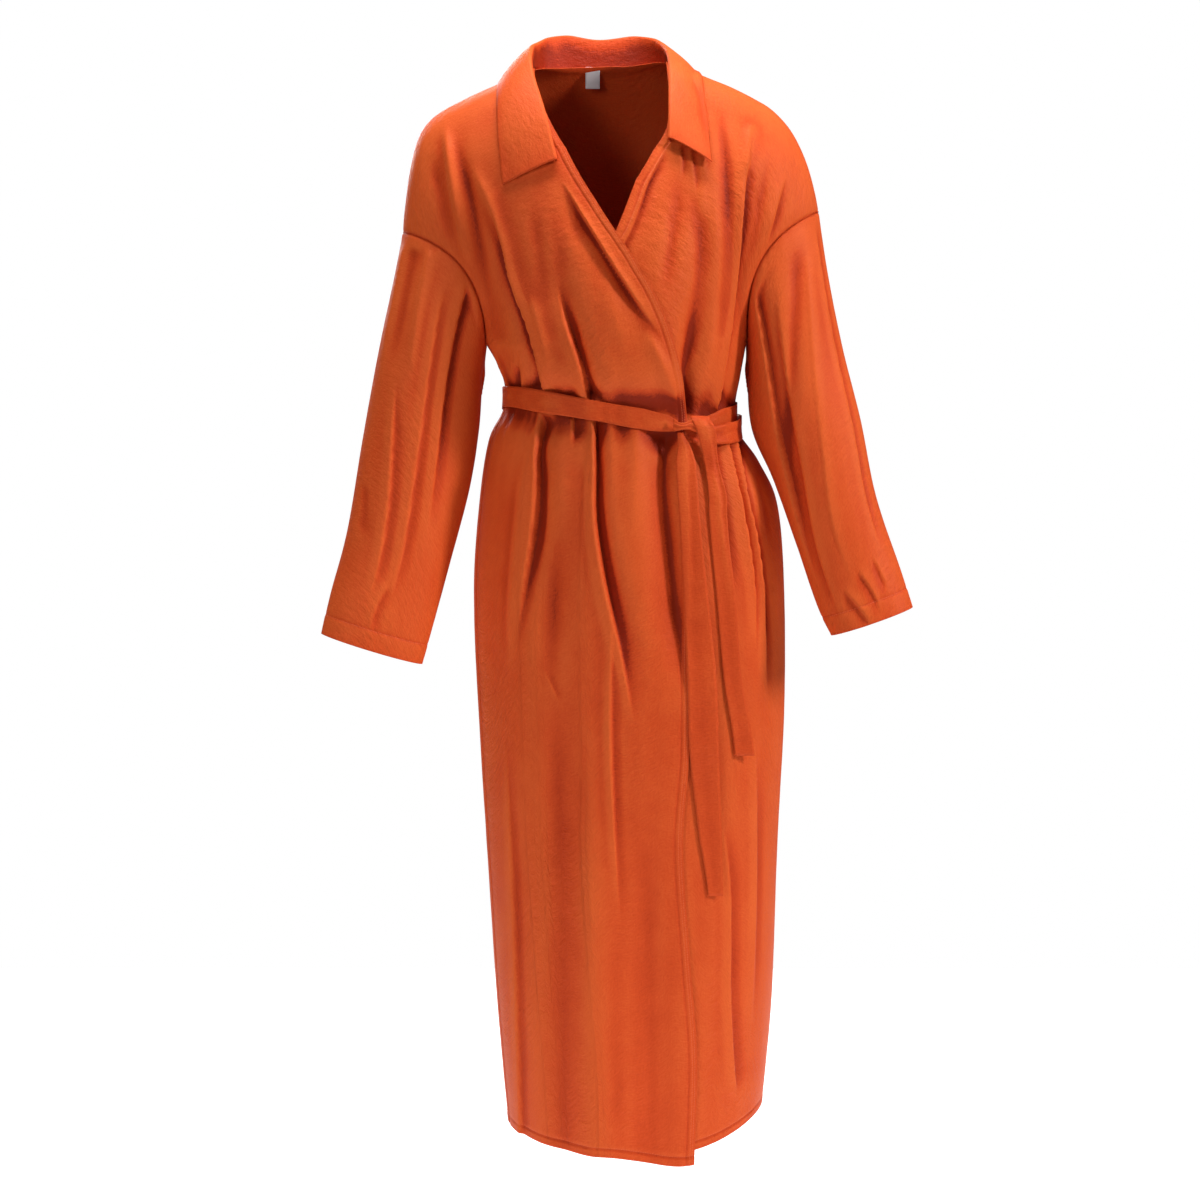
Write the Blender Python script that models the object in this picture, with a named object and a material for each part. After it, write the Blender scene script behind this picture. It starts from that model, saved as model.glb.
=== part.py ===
"""A long-sleeved maxi wrap dress with a pointed collar and waist ties, hollow, in its worn form.

The frame's origin is between the wearer's shoulders at the height of the neck, +Z up, the front
towards -Y and the wearer's left towards +X. Tables are in centimetres, as a dressmaker measures.
A panel is a surface through sections worked out from these sizes, with a wall added inwards along
normals that neighbours share at a seam, so that their walls meet there and don't cross.
"""

import math
from collections import namedtuple

import bmesh
import bpy
from mathutils import Matrix, Vector
from mathutils.bvhtree import BVHTree

CM = 0.01
MM = 0.001

WALL = 1.5 * MM  # cloth wall
TIE_WALL = 1.2 * MM  # wall of the ties and the label
HALF_SEAM = 0.17 * MM  # each panel stops this short of a seam
LAP_LIFT = 3.2 * MM  # the over front lies this far outside the under front
REST_GAP = 0.45 * MM  # air between a piece and what it lies on

RUST = (0.66, 0.105, 0.028, 1.0)
LABEL_GREY = (0.72, 0.70, 0.72, 1.0)

# ---------------------------------------------------------------- the body's sections

# Above the armpits a section ends on the armhole: "arm" is how far round it, from the shoulder
# seam (0) to the armpit (1). Depths are from the plane of the side seams.
Yoke = namedtuple("Yoke", "name z_front front z_back back arm")
YOKE = [
    Yoke("shoulder seam", 3.5, 0.0, 3.5, 0.0, 0.0),
    Yoke("seam allowance", 3.3, 1.2, 3.4, 1.3, 0.02),
    Yoke("neck", 2.0, 3.8, 2.4, 4.2, 0.08),
    Yoke("collarbone", -1.0, 6.0, 0.0, 6.4, 0.16),
    Yoke("upper chest", -6.0, 8.8, -5.0, 9.0, 0.30),
    Yoke("armhole notch", -12.5, 11.0, -12.0, 10.4, 0.47),
    Yoke("bust", -20.0, 12.6, -19.5, 10.9, 0.66),
    Yoke("under bust", -27.0, 13.0, -26.5, 10.8, 0.85),
    Yoke("armpit", -32.5, 12.8, -32.5, 10.5, 1.0),
]

# From the armpits down a section is a closed ring. "left" and "right" are as seen from the front.
Ring = namedtuple("Ring", "name z_front z_back z_left z_right left right front back")
RINGS = [
    Ring("armpit", -32.5, -32.5, -32.3, -31.5, -13.9, 18.0, 12.8, 10.5),
    Ring("blousing", -36.2, -35.4, -34.6, -36.2, -12.6, 17.2, 12.3, 10.3),
    Ring("belt top", -39.3, -38.2, -37.2, -39.8, -11.7, 16.6, 10.7, 9.4),
    Ring("belt bottom", -42.4, -41.3, -40.2, -42.9, -11.9, 17.0, 10.7, 9.5),
    Ring("fall", -45.8, -45.2, -44.0, -46.4, -13.7, 19.5, 11.7, 11.0),
    Ring("high hip", -52.0, -51.6, -51.3, -51.6, -14.8, 21.8, 12.5, 12.3),
    Ring("hip", -62.0, -62.0, -62.0, -62.0, -15.5, 22.7, 12.9, 12.8),
    Ring("thigh", -77.0, -77.0, -77.0, -77.0, -15.1, 22.8, 12.7, 12.5),
    Ring("knee", -95.0, -95.0, -95.0, -95.0, -14.1, 22.0, 12.5, 12.2),
    Ring("calf", -114.0, -113.5, -113.0, -112.5, -12.9, 21.4, 12.5, 12.2),
    Ring("hem", -130.0, -128.5, -128.6, -126.2, -11.5, 20.2, 12.7, 12.4),
]
ARMPIT = len(YOKE) - 1  # section number of the armpit ring
HEM = ARMPIT + len(RINGS) - 1  # and of the hem

SHOULDER_CENTRE_X = 1.3
SHOULDER_SLOPE = 9.9  # fall of the shoulder line from neck to arm
SHOULDER_POWER = 1.4
CAP_POWER = {-1: 24, 1: 12}  # how suddenly the shoulder turns down, on each side
SIDE_POWER = 2.5  # how a ring's height goes from its centre to its side
FRONT_POWER = 2.3  # roundness of a section: 2 is an ellipse, more is flatter in front
OPEN_ARM = 0.35  # how much flatter a section is where it ends on an armhole
THETA_STEP = math.radians(0.5)  # for working out normals
SECTION_STEP = 0.2
BODY_STEP = 0.5  # a wider one for the surface under the folds, so that they leave it evenly
ARM_STEP = math.radians(6)
UNDER_ARM = 0.4  # how far below the armpit its wall's direction is taken
RIDGE_BLEND = 0.5  # how gradually a seam goes from valley to ridge
HAIR = 1e-6  # keeps a panel's last angle on its own side of the side plane
SEAM_TURN = math.radians(12)  # the skirt is turned, so a side seam shows at the left
SEAM_TURN_SECTIONS = 4  # over this many sections below the armpit
EDGE_SEARCH = math.radians(80)  # a wrap edge lies within this angle of the front
HALVINGS = 40
HEM_DIP = 1.7  # the over front's corner hangs this much lower
HEM_DIP_FROM, HEM_DIP_TO = 0.0, 11.5
LAP_FROM, LAP_TURN = -62, 26  # degrees over which the over front rises to its lift
LAP_SECTION, LAP_SECTIONS = 2, 2  # and from which section down, over how many

# Wrap edges: from the neck, across the front, to the hem.
Edge = namedtuple("Edge", "z x")
OVER_EDGE = [
    Edge(1.4, -7.9),
    Edge(-1.0, -7.7),
    Edge(-4.7, -6.5),
    Edge(-9.4, -4.0),
    Edge(-16.1, -0.2),
    Edge(-23.8, 4.7),
    Edge(-29.6, 7.7),
    Edge(-35.5, 9.5),
    Edge(-40.8, 10.2),
    Edge(-55.0, 10.6),
    Edge(-81.0, 10.6),
    Edge(-92.2, 9.9),
    Edge(-105.5, 10.7),
    Edge(-118.4, 11.6),
    Edge(-132.0, 11.2),
]
UNDER_EDGE = [
    Edge(2.0, 8.0),
    Edge(-3.0, 8.2),
    Edge(-6.9, 7.9),
    Edge(-9.6, 6.3),
    Edge(-13.2, 4.2),
    Edge(-19.1, 1.9),
    Edge(-23.8, -1.0),
    Edge(-29.6, -4.0),
    Edge(-35.5, -5.6),
    Edge(-44.0, -6.2),
    Edge(-130.0, -6.0),
]
NECK_BACK_SECTION = 2.1  # the back neck seam's lowest point, as a section number
NECK_ROUND = 0.6  # how round the hollow of the back neck is

# ---------------------------------------------------------------- sleeves

Cuff = namedtuple("Cuff", "name out_x out_z in_x in_z y depth bow")
SLEEVES = {
    "sleeve_right": [
        Cuff("armhole", -24.1, -18.6, -13.9, -32.3, 0.0, 6.4, 3.3),
        Cuff("under arm", -25.4, -25.0, -14.3, -36.6, -0.3, 6.4, 1.4),
        Cuff("upper arm", -27.2, -33.6, -14.8, -42.6, -0.9, 6.1, 0.4),
        Cuff("elbow", -29.0, -43.9, -15.9, -49.6, -2.2, 5.5, 0.0),
        Cuff("forearm", -30.7, -54.7, -18.2, -58.6, -4.4, 4.6, 0.0),
        Cuff("wrist", -32.6, -62.4, -20.2, -66.2, -6.6, 3.7, 0.0),
        Cuff("cuff", -33.6, -67.1, -21.5, -70.8, -7.8, 3.2, 0.0),
    ],
    "sleeve_left": [
        Cuff("armhole", 26.7, -16.1, 18.0, -31.5, 0.0, 6.4, 3.3),
        Cuff("under arm", 27.9, -24.0, 18.0, -36.4, -0.6, 6.4, 1.6),
        Cuff("upper arm", 29.6, -32.6, 18.6, -42.6, -1.6, 6.1, 0.5),
        Cuff("elbow", 31.7, -41.5, 21.2, -49.0, -3.6, 5.3, 0.0),
        Cuff("forearm", 33.4, -50.6, 23.9, -56.9, -5.9, 4.5, 0.0),
        Cuff("wrist", 36.2, -59.4, 26.2, -63.8, -8.0, 3.7, 0.0),
        Cuff("cuff", 37.5, -63.8, 27.8, -67.2, -9.2, 3.2, 0.0),
    ],
}
SIDE_OF = {"sleeve_right": -1, "sleeve_left": 1}
SLEEVE_ROWS = 14
SLEEVE_STEP = 0.02  # for working out normals

# ---------------------------------------------------------------- the largest folds

# A fold runs from its top point to its bottom point on the front (facing -1) or back (+1). It
# stands out (+) or sinks in (-) by "mm", and dies away over its own width on each side.
Fold = namedtuple("Fold", "facing x_top z_top x_low z_low bow left right mm fade_top fade_low")
FOLDS = [
    # bodice, front
    Fold(-1, -18.0, -5.0, -15.6, -28.0, 0.3, 1.5, 1.5, 6.0, 0.3, 0.3),
    Fold(-1, -13.0, -15.0, -7.0, -40.0, -0.4, 1.9, 1.9, -12.0, 0.4, 0.1),
    Fold(-1, -12.6, -9.0, -4.2, -38.6, -0.6, 1.3, 1.9, 6.0, 0.3, 0.1),
    Fold(-1, -11.4, -29.0, -10.6, -38.5, 0.0, 1.0, 1.2, -6.0, 0.4, 0.05),
    Fold(-1, -5.2, -22.0, -0.8, -40.5, -0.3, 1.3, 1.7, -9.0, 0.5, 0.03),
    Fold(-1, 4.6, -28.0, 9.0, -40.5, 0.2, 1.4, 1.2, 5.0, 0.5, 0.1),
    Fold(-1, 11.6, -29.0, 11.2, -41.0, 0.2, 1.3, 1.6, -12.0, 0.5, 0.02),
    Fold(-1, 18.2, -8.0, 15.4, -36.5, 0.4, 1.5, 1.6, 7.0, 0.3, 0.15),
    Fold(-1, 15.4, -16.0, 13.9, -38.5, 0.3, 1.4, 1.4, -9.0, 0.5, 0.05),
    # skirt, front
    Fold(-1, -6.9, -40.6, -5.4, -70.0, -1.0, 0.9, 2.8, -15.0, 0.03, 0.6),
    Fold(-1, -0.9, -41.3, 0.8, -66.0, -0.4, 0.9, 2.0, -10.0, 0.03, 0.6),
    Fold(-1, 4.4, -42.3, 3.6, -66.0, 0.3, 1.4, 1.6, 4.0, 0.05, 0.6),
    Fold(-1, 7.9, -42.6, 8.2, -80.0, -0.4, 1.7, 1.5, -13.0, 0.03, 0.5),
    Fold(-1, 15.0, -43.6, 18.4, -72.0, 0.3, 1.0, 1.4, -10.0, 0.03, 0.6),
    Fold(-1, 17.4, -43.4, 20.4, -72.0, 0.2, 0.9, 1.2, -8.0, 0.03, 0.6),
    Fold(-1, -9.6, -44.0, -10.8, -76.0, -0.3, 1.6, 1.7, 6.0, 0.15, 0.5),
    Fold(-1, -7.0, -66.0, -4.4, -131.0, 0.6, 3.2, 3.4, -10.0, 0.5, 0.0),
    Fold(-1, -1.4, -74.0, -0.6, -131.0, 0.0, 3.0, 3.0, 8.0, 0.6, 0.0),
    Fold(-1, 5.6, -84.0, 6.4, -131.0, -0.4, 2.6, 2.4, -8.0, 0.6, 0.0),
    Fold(-1, 15.4, -86.0, 15.0, -129.0, 0.3, 2.2, 2.6, -9.0, 0.6, 0.0),
    # bodice, back
    Fold(1, -9.6, -14.0, -6.2, -39.0, 0.4, 1.6, 1.8, -11.0, 0.5, 0.05),
    Fold(1, -2.6, -20.0, -1.4, -39.5, 0.2, 1.8, 1.8, -9.0, 0.5, 0.05),
    Fold(1, 5.6, -15.0, 4.4, -39.5, -0.3, 1.7, 1.7, -12.0, 0.5, 0.05),
    Fold(1, 13.6, -17.0, 10.6, -40.0, -0.5, 1.6, 1.9, -10.0, 0.5, 0.05),
    # skirt, back
    Fold(1, -8.4, -41.5, -10.6, -96.0, 0.4, 1.4, 2.6, -13.0, 0.05, 0.6),
    Fold(1, -3.0, -42.0, -3.8, -74.0, 0.3, 1.8, 1.5, -10.0, 0.05, 0.6),
    Fold(1, 2.2, -42.0, 1.8, -112.0, -0.4, 1.6, 2.4, -14.0, 0.05, 0.6),
    Fold(1, 8.0, -42.5, 10.2, -80.0, 0.3, 2.2, 1.4, -11.0, 0.05, 0.6),
    Fold(1, 13.2, -43.0, 16.4, -104.0, 0.5, 1.5, 2.6, -12.0, 0.05, 0.6),
    Fold(1, -5.0, -90.0, -5.6, -130.0, 0.3, 3.2, 3.2, 9.0, 0.6, 0.0),
    Fold(1, 7.4, -92.0, 8.4, -130.0, 0.3, 3.2, 3.2, 9.0, 0.6, 0.0),
]
ARMHOLE_CALM = 3.0  # folds die away over this distance from an armhole
FOLD_REACH = 3  # widths to where a fold is nothing
FOLD_TURN = 1.8  # how soon folds die away where the cloth turns to the side

# ---------------------------------------------------------------- collar, ties, label

# One row for each place round the neck, from the wearer's left front end round the back to the
# other end: where the collar is sewn on, the top of its roll and the edge of its leaf.
Station = namedtuple("Station", "name sewn roll leaf")
COLLAR = [
    Station("left end", (8.3, -9.4, -8.5), (8.0, -10.3, -8.2), (13.3, -9.7, -10.9)),
    Station("left neck edge", (8.5, -7.6, -5.0), (8.1, -8.4, -4.4), (12.9, -7.4, -6.6)),
    Station("left collarbone", (8.4, -4.6, -1.1), (8.1, -4.7, 0.2), (12.4, -5.0, -2.6)),
    Station("left shoulder", (8.1, -0.8, 1.4), (8.0, -0.6, 3.3), (11.8, -0.6, 0.6)),
    Station("left nape", (7.2, 3.0, 2.2), (6.9, 3.2, 5.1), (10.2, 4.6, 0.4)),
    Station("left back", (4.2, 4.9, 2.2), (4.4, 5.7, 6.0), (5.6, 7.3, 0.0)),
    Station("centre back", (0.2, 5.2, 2.0), (0.2, 6.1, 5.6), (0.3, 7.6, -0.4)),
    Station("right back", (-3.8, 4.9, 2.2), (-4.4, 5.7, 6.1), (-5.8, 7.3, 0.0)),
    Station("right nape", (-7.0, 3.0, 2.2), (-7.3, 3.2, 5.1), (-10.6, 4.6, 0.2)),
    Station("right shoulder", (-8.0, -0.8, 1.4), (-8.3, -0.6, 3.4), (-12.2, -0.6, -0.2)),
    Station("right collarbone", (-8.0, -4.6, -1.1), (-7.9, -5.0, 0.0), (-12.4, -5.0, -3.0)),
    Station("right neck edge", (-6.7, -8.0, -5.3), (-6.4, -8.8, -5.1), (-12.2, -7.9, -7.8)),
    Station("right end", (-5.2, -10.2, -11.0), (-5.0, -11.0, -10.9), (-11.6, -9.4, -13.6)),
]
COLLAR_COLUMNS = 30
COLLAR_GAP = 0.08  # under its sewn edge
ROLL_RADIUS = 0.36
ROLL_SET = 0.6  # how far the roll's axis lies towards the leaf, in radii
ROLL_STEPS = 5  # in the roll's arc
LEAF_SHARES = [0.3, 0.65, 1.0]  # points from the roll to the leaf's edge
LEAF_BULGE = 0.3
ROLL_HEIGHT = 0.45  # least height of the leaf over the panel next to the roll, and of its edge
LEAF_HEIGHT = 0.32

TIE_AXIS_X = 2.4
Band = namedtuple("Band", "degrees z width")  # degrees round the waist: 0 in front, 90 at the left
TIES = {
    "tie_short": [
        Band(48.0, -42.0, 1.8),
        Band(62, -41.3, 2.4),
        Band(90, -40.6, 2.6),
        Band(135, -40.0, 2.6),
        Band(180, -39.5, 2.6),
        Band(225, -39.1, 2.6),
        Band(262, -38.9, 2.6),
    ],
    "tie_long": [
        Band(48.0, -43.3, 1.9),
        Band(62, -43.0, 2.5),
        Band(90, -42.2, 2.6),
        Band(135, -41.4, 2.6),
        Band(180, -40.7, 2.6),
        Band(225, -39.8, 2.6),
        Band(270, -38.8, 2.6),
        Band(288, -38.6, 2.5),
        Band(311, -39.1, 2.7),
        Band(347, -40.35, 2.4),
        Band(374, -41.3, 2.5),
        Band(388, -41.8, 2.0),
        Band(394.5, -42.1, 1.2),
    ],
}
TIE_STEP = 5.5  # degrees
TIE_GAP = 0.07
BAND_SHARES = (-0.55, -0.3, 0, 0.3, 0.55)  # where across a band it is measured

KNOT_DEGREES, KNOT_Z = 41.5, -42.2
KNOT_HALF = (1.45, 0.85, 1.35)  # half its length round the waist, outwards and upwards
KNOT_START = 20.0  # distance from the waist's axis that it is slid in from
KNOT_SLIDES = 16

Ribbon = namedtuple("Ribbon", "z left right")
TAILS = {
    "tail_long": [
        Ribbon(-42.9, 9.2, 9.9),
        Ribbon(-44.6, 9.2, 10.8),
        Ribbon(-46.4, 9.0, 11.4),
        Ribbon(-53.3, 9.4, 11.9),
        Ribbon(-62.8, 9.9, 12.9),
        Ribbon(-72.4, 10.4, 13.9),
        Ribbon(-81.1, 10.7, 14.2),
        Ribbon(-90.8, 11.8, 14.6),
        Ribbon(-98.4, 13.0, 14.8),
    ],
    "tail_short": [
        Ribbon(-40.9, 10.7, 13.0),
        Ribbon(-42.6, 11.5, 13.8),
        Ribbon(-46.4, 12.4, 14.1),
        Ribbon(-50.4, 12.9, 15.1),
        Ribbon(-53.3, 13.0, 15.2),
        Ribbon(-62.8, 13.9, 16.2),
        Ribbon(-72.4, 14.8, 17.0),
        Ribbon(-81.6, 16.2, 18.6),
    ],
}
TAIL_STEP = 2.5  # between a tail's rows
TAIL_SEAT = {"tail_long": 0.0, "tail_short": 0.95 * MM}  # how far each is then pressed in
TAIL_LIFT = REST_GAP + 1.1 * TIE_WALL  # outer side over what it hangs on
TAIL_COLUMNS = (0, 0.25, 0.5, 0.75, 1)
TAIL_NEAR = (-0.25, -0.12, 0, 0.12, 0.25)  # where across a tail it is measured round a column

LABEL_X, LABEL_WIDTH, LABEL_TOP, LABEL_LENGTH = -0.9, 1.75, 2.8, 2.9
LABEL_LIFT = REST_GAP + 1.3 * TIE_WALL
LABEL_RISE = 0.4  # measured this far above and below each row
FAR_OUT = 0.5  # metres, outside the dress

# ---------------------------------------------------------------- grids

UPPER_SECTIONS = [0, 0.6, 1.3, 2.0, 2.8, 3.6, 4.4, 5.2, 6.0, 6.8, 7.5, 8]
LOWER_SECTIONS = [8.5, 9, 9.5, 10, 10.5, 11, 11.6, 12.2, 12.8, 13.4, 14]
LOWER_SECTIONS += [14.5, 15, 15.5, 16, 16.5, 17, 17.5, 18]
SECTIONS = UPPER_SECTIONS + LOWER_SECTIONS
OVER_SIDE_COLUMNS = 11  # over front, outside the lap
LAP_COLUMNS = 10  # both fronts, in the lap, at the same angles
UNDER_SIDE_COLUMNS = 14  # under front, outside the lap
LEAST_LAP = math.radians(14)  # what the lap's columns cover where the fronts don't cross
BACK_COLUMNS = 26


def clamp01(value):
    return min(1.0, max(0.0, value))


def smooth(value):
    value = clamp01(value)
    return value * value * (3 - 2 * value)


def mix(a, b, share):
    return a + (b - a) * share


def catmull(values, place):
    """A smooth curve through evenly numbered values."""
    last = len(values) - 1
    place = min(max(place, 0.0), float(last))
    first = min(int(place), last - 1)
    t = place - first
    before = values[max(first - 1, 0)]
    a, b = values[first], values[first + 1]
    after = values[min(first + 2, last)]
    tangent_a, tangent_b = (b - before) / 2, (after - a) / 2
    square, cube = t * t, t * t * t
    return (
        a * (2 * cube - 3 * square + 1)
        + tangent_a * (cube - 2 * square + t)
        + b * (3 * square - 2 * cube)
        + tangent_b * (cube - square)
    )


def edge_x(edge, z):
    """Where a wrap edge is at this height, from its table of falling heights."""
    if z >= edge[0].z:
        return edge[0].x
    for number, (upper, lower) in enumerate(zip(edge, edge[1:])):
        if z >= lower.z:
            share = (upper.z - z) / (upper.z - lower.z)
            return catmull([point.x for point in edge], number + share)
    return edge[-1].x


def column(rows, name):
    return [getattr(row, name) for row in rows]


# ---------------------------------------------------------------- armhole and sleeve surface


def loop_point(cuff, angle, facing):
    """A point round a sleeve section: angle 0 outside, 180 degrees inside, facing -1 in front."""
    centre = Vector(((cuff.out_x + cuff.in_x) / 2, cuff.y, (cuff.out_z + cuff.in_z) / 2))
    half = Vector(((cuff.in_x - cuff.out_x) / 2, 0, (cuff.in_z - cuff.out_z) / 2))
    up_across = Vector((-half.z, 0, half.x)).normalized()
    if up_across.z < 0:
        up_across = -up_across
    around = Vector((0, facing * cuff.depth, 0)) + up_across * cuff.bow * math.sin(angle)
    return centre - half * math.cos(angle) + around * math.sin(angle)


def sleeve_point(name, place, angle, facing):
    """A point of the sleeve's surface, place 0 at the armhole and 1 at the cuff."""
    rows = SLEEVES[name]
    number = place * (len(rows) - 1)
    section = Cuff(name, *[catmull(column(rows, field), number) for field in Cuff._fields[1:]])
    return loop_point(section, angle, facing) * CM


def armhole_point(side, arm, facing):
    name = "sleeve_left" if side > 0 else "sleeve_right"
    return loop_point(SLEEVES[name][0], arm * math.pi, facing)


# ---------------------------------------------------------------- body surface


def body_point(theta, section):
    """The body's smooth surface in metres: theta 0 in front, 90 degrees at the right (+X)."""
    side = 1 if math.sin(theta) >= 0 else -1
    facing = -1 if math.cos(theta) >= 0 else 1
    reach = abs(math.sin(theta))
    depth_name, height_name = ("front", "z_front") if facing < 0 else ("back", "z_back")
    if section <= ARMPIT:
        centre = Vector((SHOULDER_CENTRE_X, 0, catmull(column(YOKE, height_name), section)))
        centre.y = facing * catmull(column(YOKE, depth_name), section)
        arm = clamp01(catmull(column(YOKE, "arm"), section))
        end = armhole_point(side, arm, facing)
        down = smooth(section / ARMPIT)
        ring_centre = (RINGS[0].left + RINGS[0].right) / 2
        centre.x = mix(SHOULDER_CENTRE_X, ring_centre, down)
        total = abs(YOKE[0].z_front - armhole_point(side, 0, facing).z)
        cap = total - SHOULDER_SLOPE
        shoulder = SHOULDER_SLOPE * reach**SHOULDER_POWER + cap * reach ** CAP_POWER[side]
        height_share = mix(shoulder / total, reach**SIDE_POWER, down)
        roundness = 0.5 + OPEN_ARM * math.sin(math.pi * clamp01(arm))
    else:
        number = section - ARMPIT
        left, right = (catmull(column(RINGS, name), number) for name in ("left", "right"))
        centre = Vector(((left + right) / 2, 0, catmull(column(RINGS, height_name), number)))
        centre.y = facing * catmull(column(RINGS, depth_name), number)
        side_height = catmull(column(RINGS, "z_right" if side > 0 else "z_left"), number)
        end = Vector((right if side > 0 else left, 0, side_height))
        height_share = reach**SIDE_POWER
        roundness = 0.5
    depth_share = max(0.0, 1 - reach**FRONT_POWER) ** roundness
    return (
        Vector(
            (
                mix(centre.x, end.x, reach),
                mix(end.y, centre.y, depth_share),
                mix(centre.z, end.z, height_share),
            )
        )
        * CM
    )


def fold_depth(point, facing_share):
    """How far the folds move a point of the smooth surface out, in metres."""
    x, z = point.x / CM, point.z / CM
    turned_away = smooth(abs(facing_share) * FOLD_TURN)
    total = 0.0
    for fold in FOLDS:
        if fold.facing * facing_share <= 0:
            continue
        along = (fold.z_top - z) / (fold.z_top - fold.z_low)
        if not 0 <= along <= 1:
            continue
        middle = mix(fold.x_top, fold.x_low, along) + fold.bow * 4 * along * (1 - along)
        across = x - middle
        width = fold.left if across < 0 else fold.right
        if abs(across) > FOLD_REACH * width:
            continue
        ends = smooth(along / max(fold.fade_top, 1e-6)) if fold.fade_top else 1.0
        ends *= smooth((1 - along) / max(fold.fade_low, 1e-6)) if fold.fade_low else 1.0
        total += fold.mm * ends * math.exp(-((across / width) ** 2)) * turned_away
    return total * MM


def armhole_calm(theta, section):
    """0 at an armhole, 1 away from it, so that a panel meets its sleeve."""
    if section >= ARMPIT + 1:
        return 1.0
    side = 1 if math.sin(theta) >= 0 else -1
    facing = -1 if math.cos(theta) >= 0 else 1
    arm = clamp01(catmull(column(YOKE, "arm"), min(section, ARMPIT)))
    gap = (body_point(theta, section) / CM - armhole_point(side, arm, facing)).length
    return smooth(gap / ARMHOLE_CALM)


def normal_of(surface, across, down, step_across, step_down, lowest, highest):
    """Outward normal of a surface given as a function of two numbers, by small steps."""
    left, right = surface(across - step_across, down), surface(across + step_across, down)
    upper, lower = max(down - step_down, lowest), min(down + step_down, highest)
    return (surface(across, lower) - surface(across, upper)).cross(right - left).normalized()


def body_normal(theta, section):
    return normal_of(body_point, theta, section, THETA_STEP, BODY_STEP, 0.0, HEM)


def folded_point(theta, section):
    """The body's surface with its folds."""
    point = body_point(theta, section)
    out = fold_depth(point, -math.cos(theta)) * armhole_calm(theta, section)
    return point + body_normal(theta, section) * out


def folded_normal(theta, section):
    if section == 0:
        front = normal_of(folded_point, theta, 0, THETA_STEP, SECTION_STEP, 0.0, HEM)
        back = normal_of(folded_point, math.pi - theta, 0, THETA_STEP, SECTION_STEP, 0.0, HEM)
        return (front + back).normalized()
    return normal_of(folded_point, theta, section, THETA_STEP, SECTION_STEP, 0.0, HEM)


def side_seam(side, section):
    """Angle of the panels' outer edge: the armhole above, the side seam below."""
    turned = SEAM_TURN * smooth((section - ARMPIT) / SEAM_TURN_SECTIONS)
    return side * math.pi / 2 + turned


def edge_angle(edge, section):
    """Angle at which a section meets a wrap edge, by halving."""
    low, high = -EDGE_SEARCH, EDGE_SEARCH
    for _ in range(HALVINGS):
        middle = (low + high) / 2
        point = body_point(middle, section) / CM
        if point.x < edge_x(edge, point.z):
            low = middle
        else:
            high = middle
    return (low + high) / 2


def even(start, end, count):
    return [mix(start, end, i / count) for i in range(count + 1)]


def joint_normal(own, other, into_own):
    """Wall direction at a seam: shared over a ridge, a panel's own in a valley."""
    ridge = smooth(0.5 - into_own.normalized().dot(other) / RIDGE_BLEND)
    return (own + other * ridge).normalized()


# ---------------------------------------------------------------- making objects


def clear_scene():
    for obj in list(bpy.data.objects):
        bpy.data.objects.remove(obj, do_unlink=True)


def material(name, colour, roughness):
    made = bpy.data.materials.new(name)
    made.use_nodes = True
    shader = made.node_tree.nodes["Principled BSDF"]
    shader.inputs["Base Color"].default_value = colour
    shader.inputs["Roughness"].default_value = roughness
    shader.inputs["Metallic"].default_value = 0.0
    return made


def draw_in(points, towards):
    """Moves a seam's points half a seam's width towards the next row of the same panel."""
    return [a + (b - a).normalized() * HALF_SEAM for a, b in zip(points, towards)]


def split(a, b, c, d):
    """A four-sided patch as two triangles, cut the same way on both skins of a wall."""
    return (a, b, c), (a, c, d)


def walled_object(name, rows, normals, closed=False, wall=WALL, colour=RUST, roughness=0.55):
    """A closed wall: the surface through the rows of points, and the same moved in by the wall."""
    shape = bmesh.new()
    outer = [[shape.verts.new(point) for point in row] for row in rows]
    inner = []
    for row, row_normals in zip(rows, normals):
        inner.append([shape.verts.new(p - n * wall) for p, n in zip(row, row_normals)])
    width = len(rows[0])
    count = width if closed else width - 1
    for skin, turned in ((outer, False), (inner, True)):
        for upper, lower in zip(skin, skin[1:]):
            for i in range(count):
                j = (i + 1) % width
                for corners in split(upper[i], lower[i], lower[j], upper[j]):
                    shape.faces.new(corners[::-1] if turned else corners)
    for i in range(count):
        j = (i + 1) % width
        shape.faces.new((outer[0][i], outer[0][j], inner[0][j], inner[0][i]))
        shape.faces.new((outer[-1][j], outer[-1][i], inner[-1][i], inner[-1][j]))
    if not closed:
        for r in range(len(rows) - 1):
            shape.faces.new((outer[r + 1][0], outer[r][0], inner[r][0], inner[r + 1][0]))
            shape.faces.new((outer[r][-1], outer[r + 1][-1], inner[r + 1][-1], inner[r][-1]))
    mesh = bpy.data.meshes.new(name)
    shape.to_mesh(mesh)
    shape.free()
    obj = bpy.data.objects.new(name, mesh)
    PARTS.objects.link(obj)
    mesh.materials.append(material(name, colour, roughness))
    mesh.shade_smooth()
    mesh.set_sharp_from_angle(angle=math.radians(50))
    SURFACES[name] = rows, closed
    return obj


def surface_tree(*names):
    """A search tree of the named pieces' visible surfaces, for laying another piece on them."""
    points, faces = [], []
    for name in names:
        rows, closed = SURFACES[name]
        width = len(rows[0])
        start = len(points)
        points += [point for row in rows for point in row]
        for r in range(len(rows) - 1):
            for i in range(width if closed else width - 1):
                a, b = start + r * width + i, start + r * width + (i + 1) % width
                faces += split(a, a + width, b + width, b)
    return BVHTree.FromPolygons(points, faces)


# ---------------------------------------------------------------- panels


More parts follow.
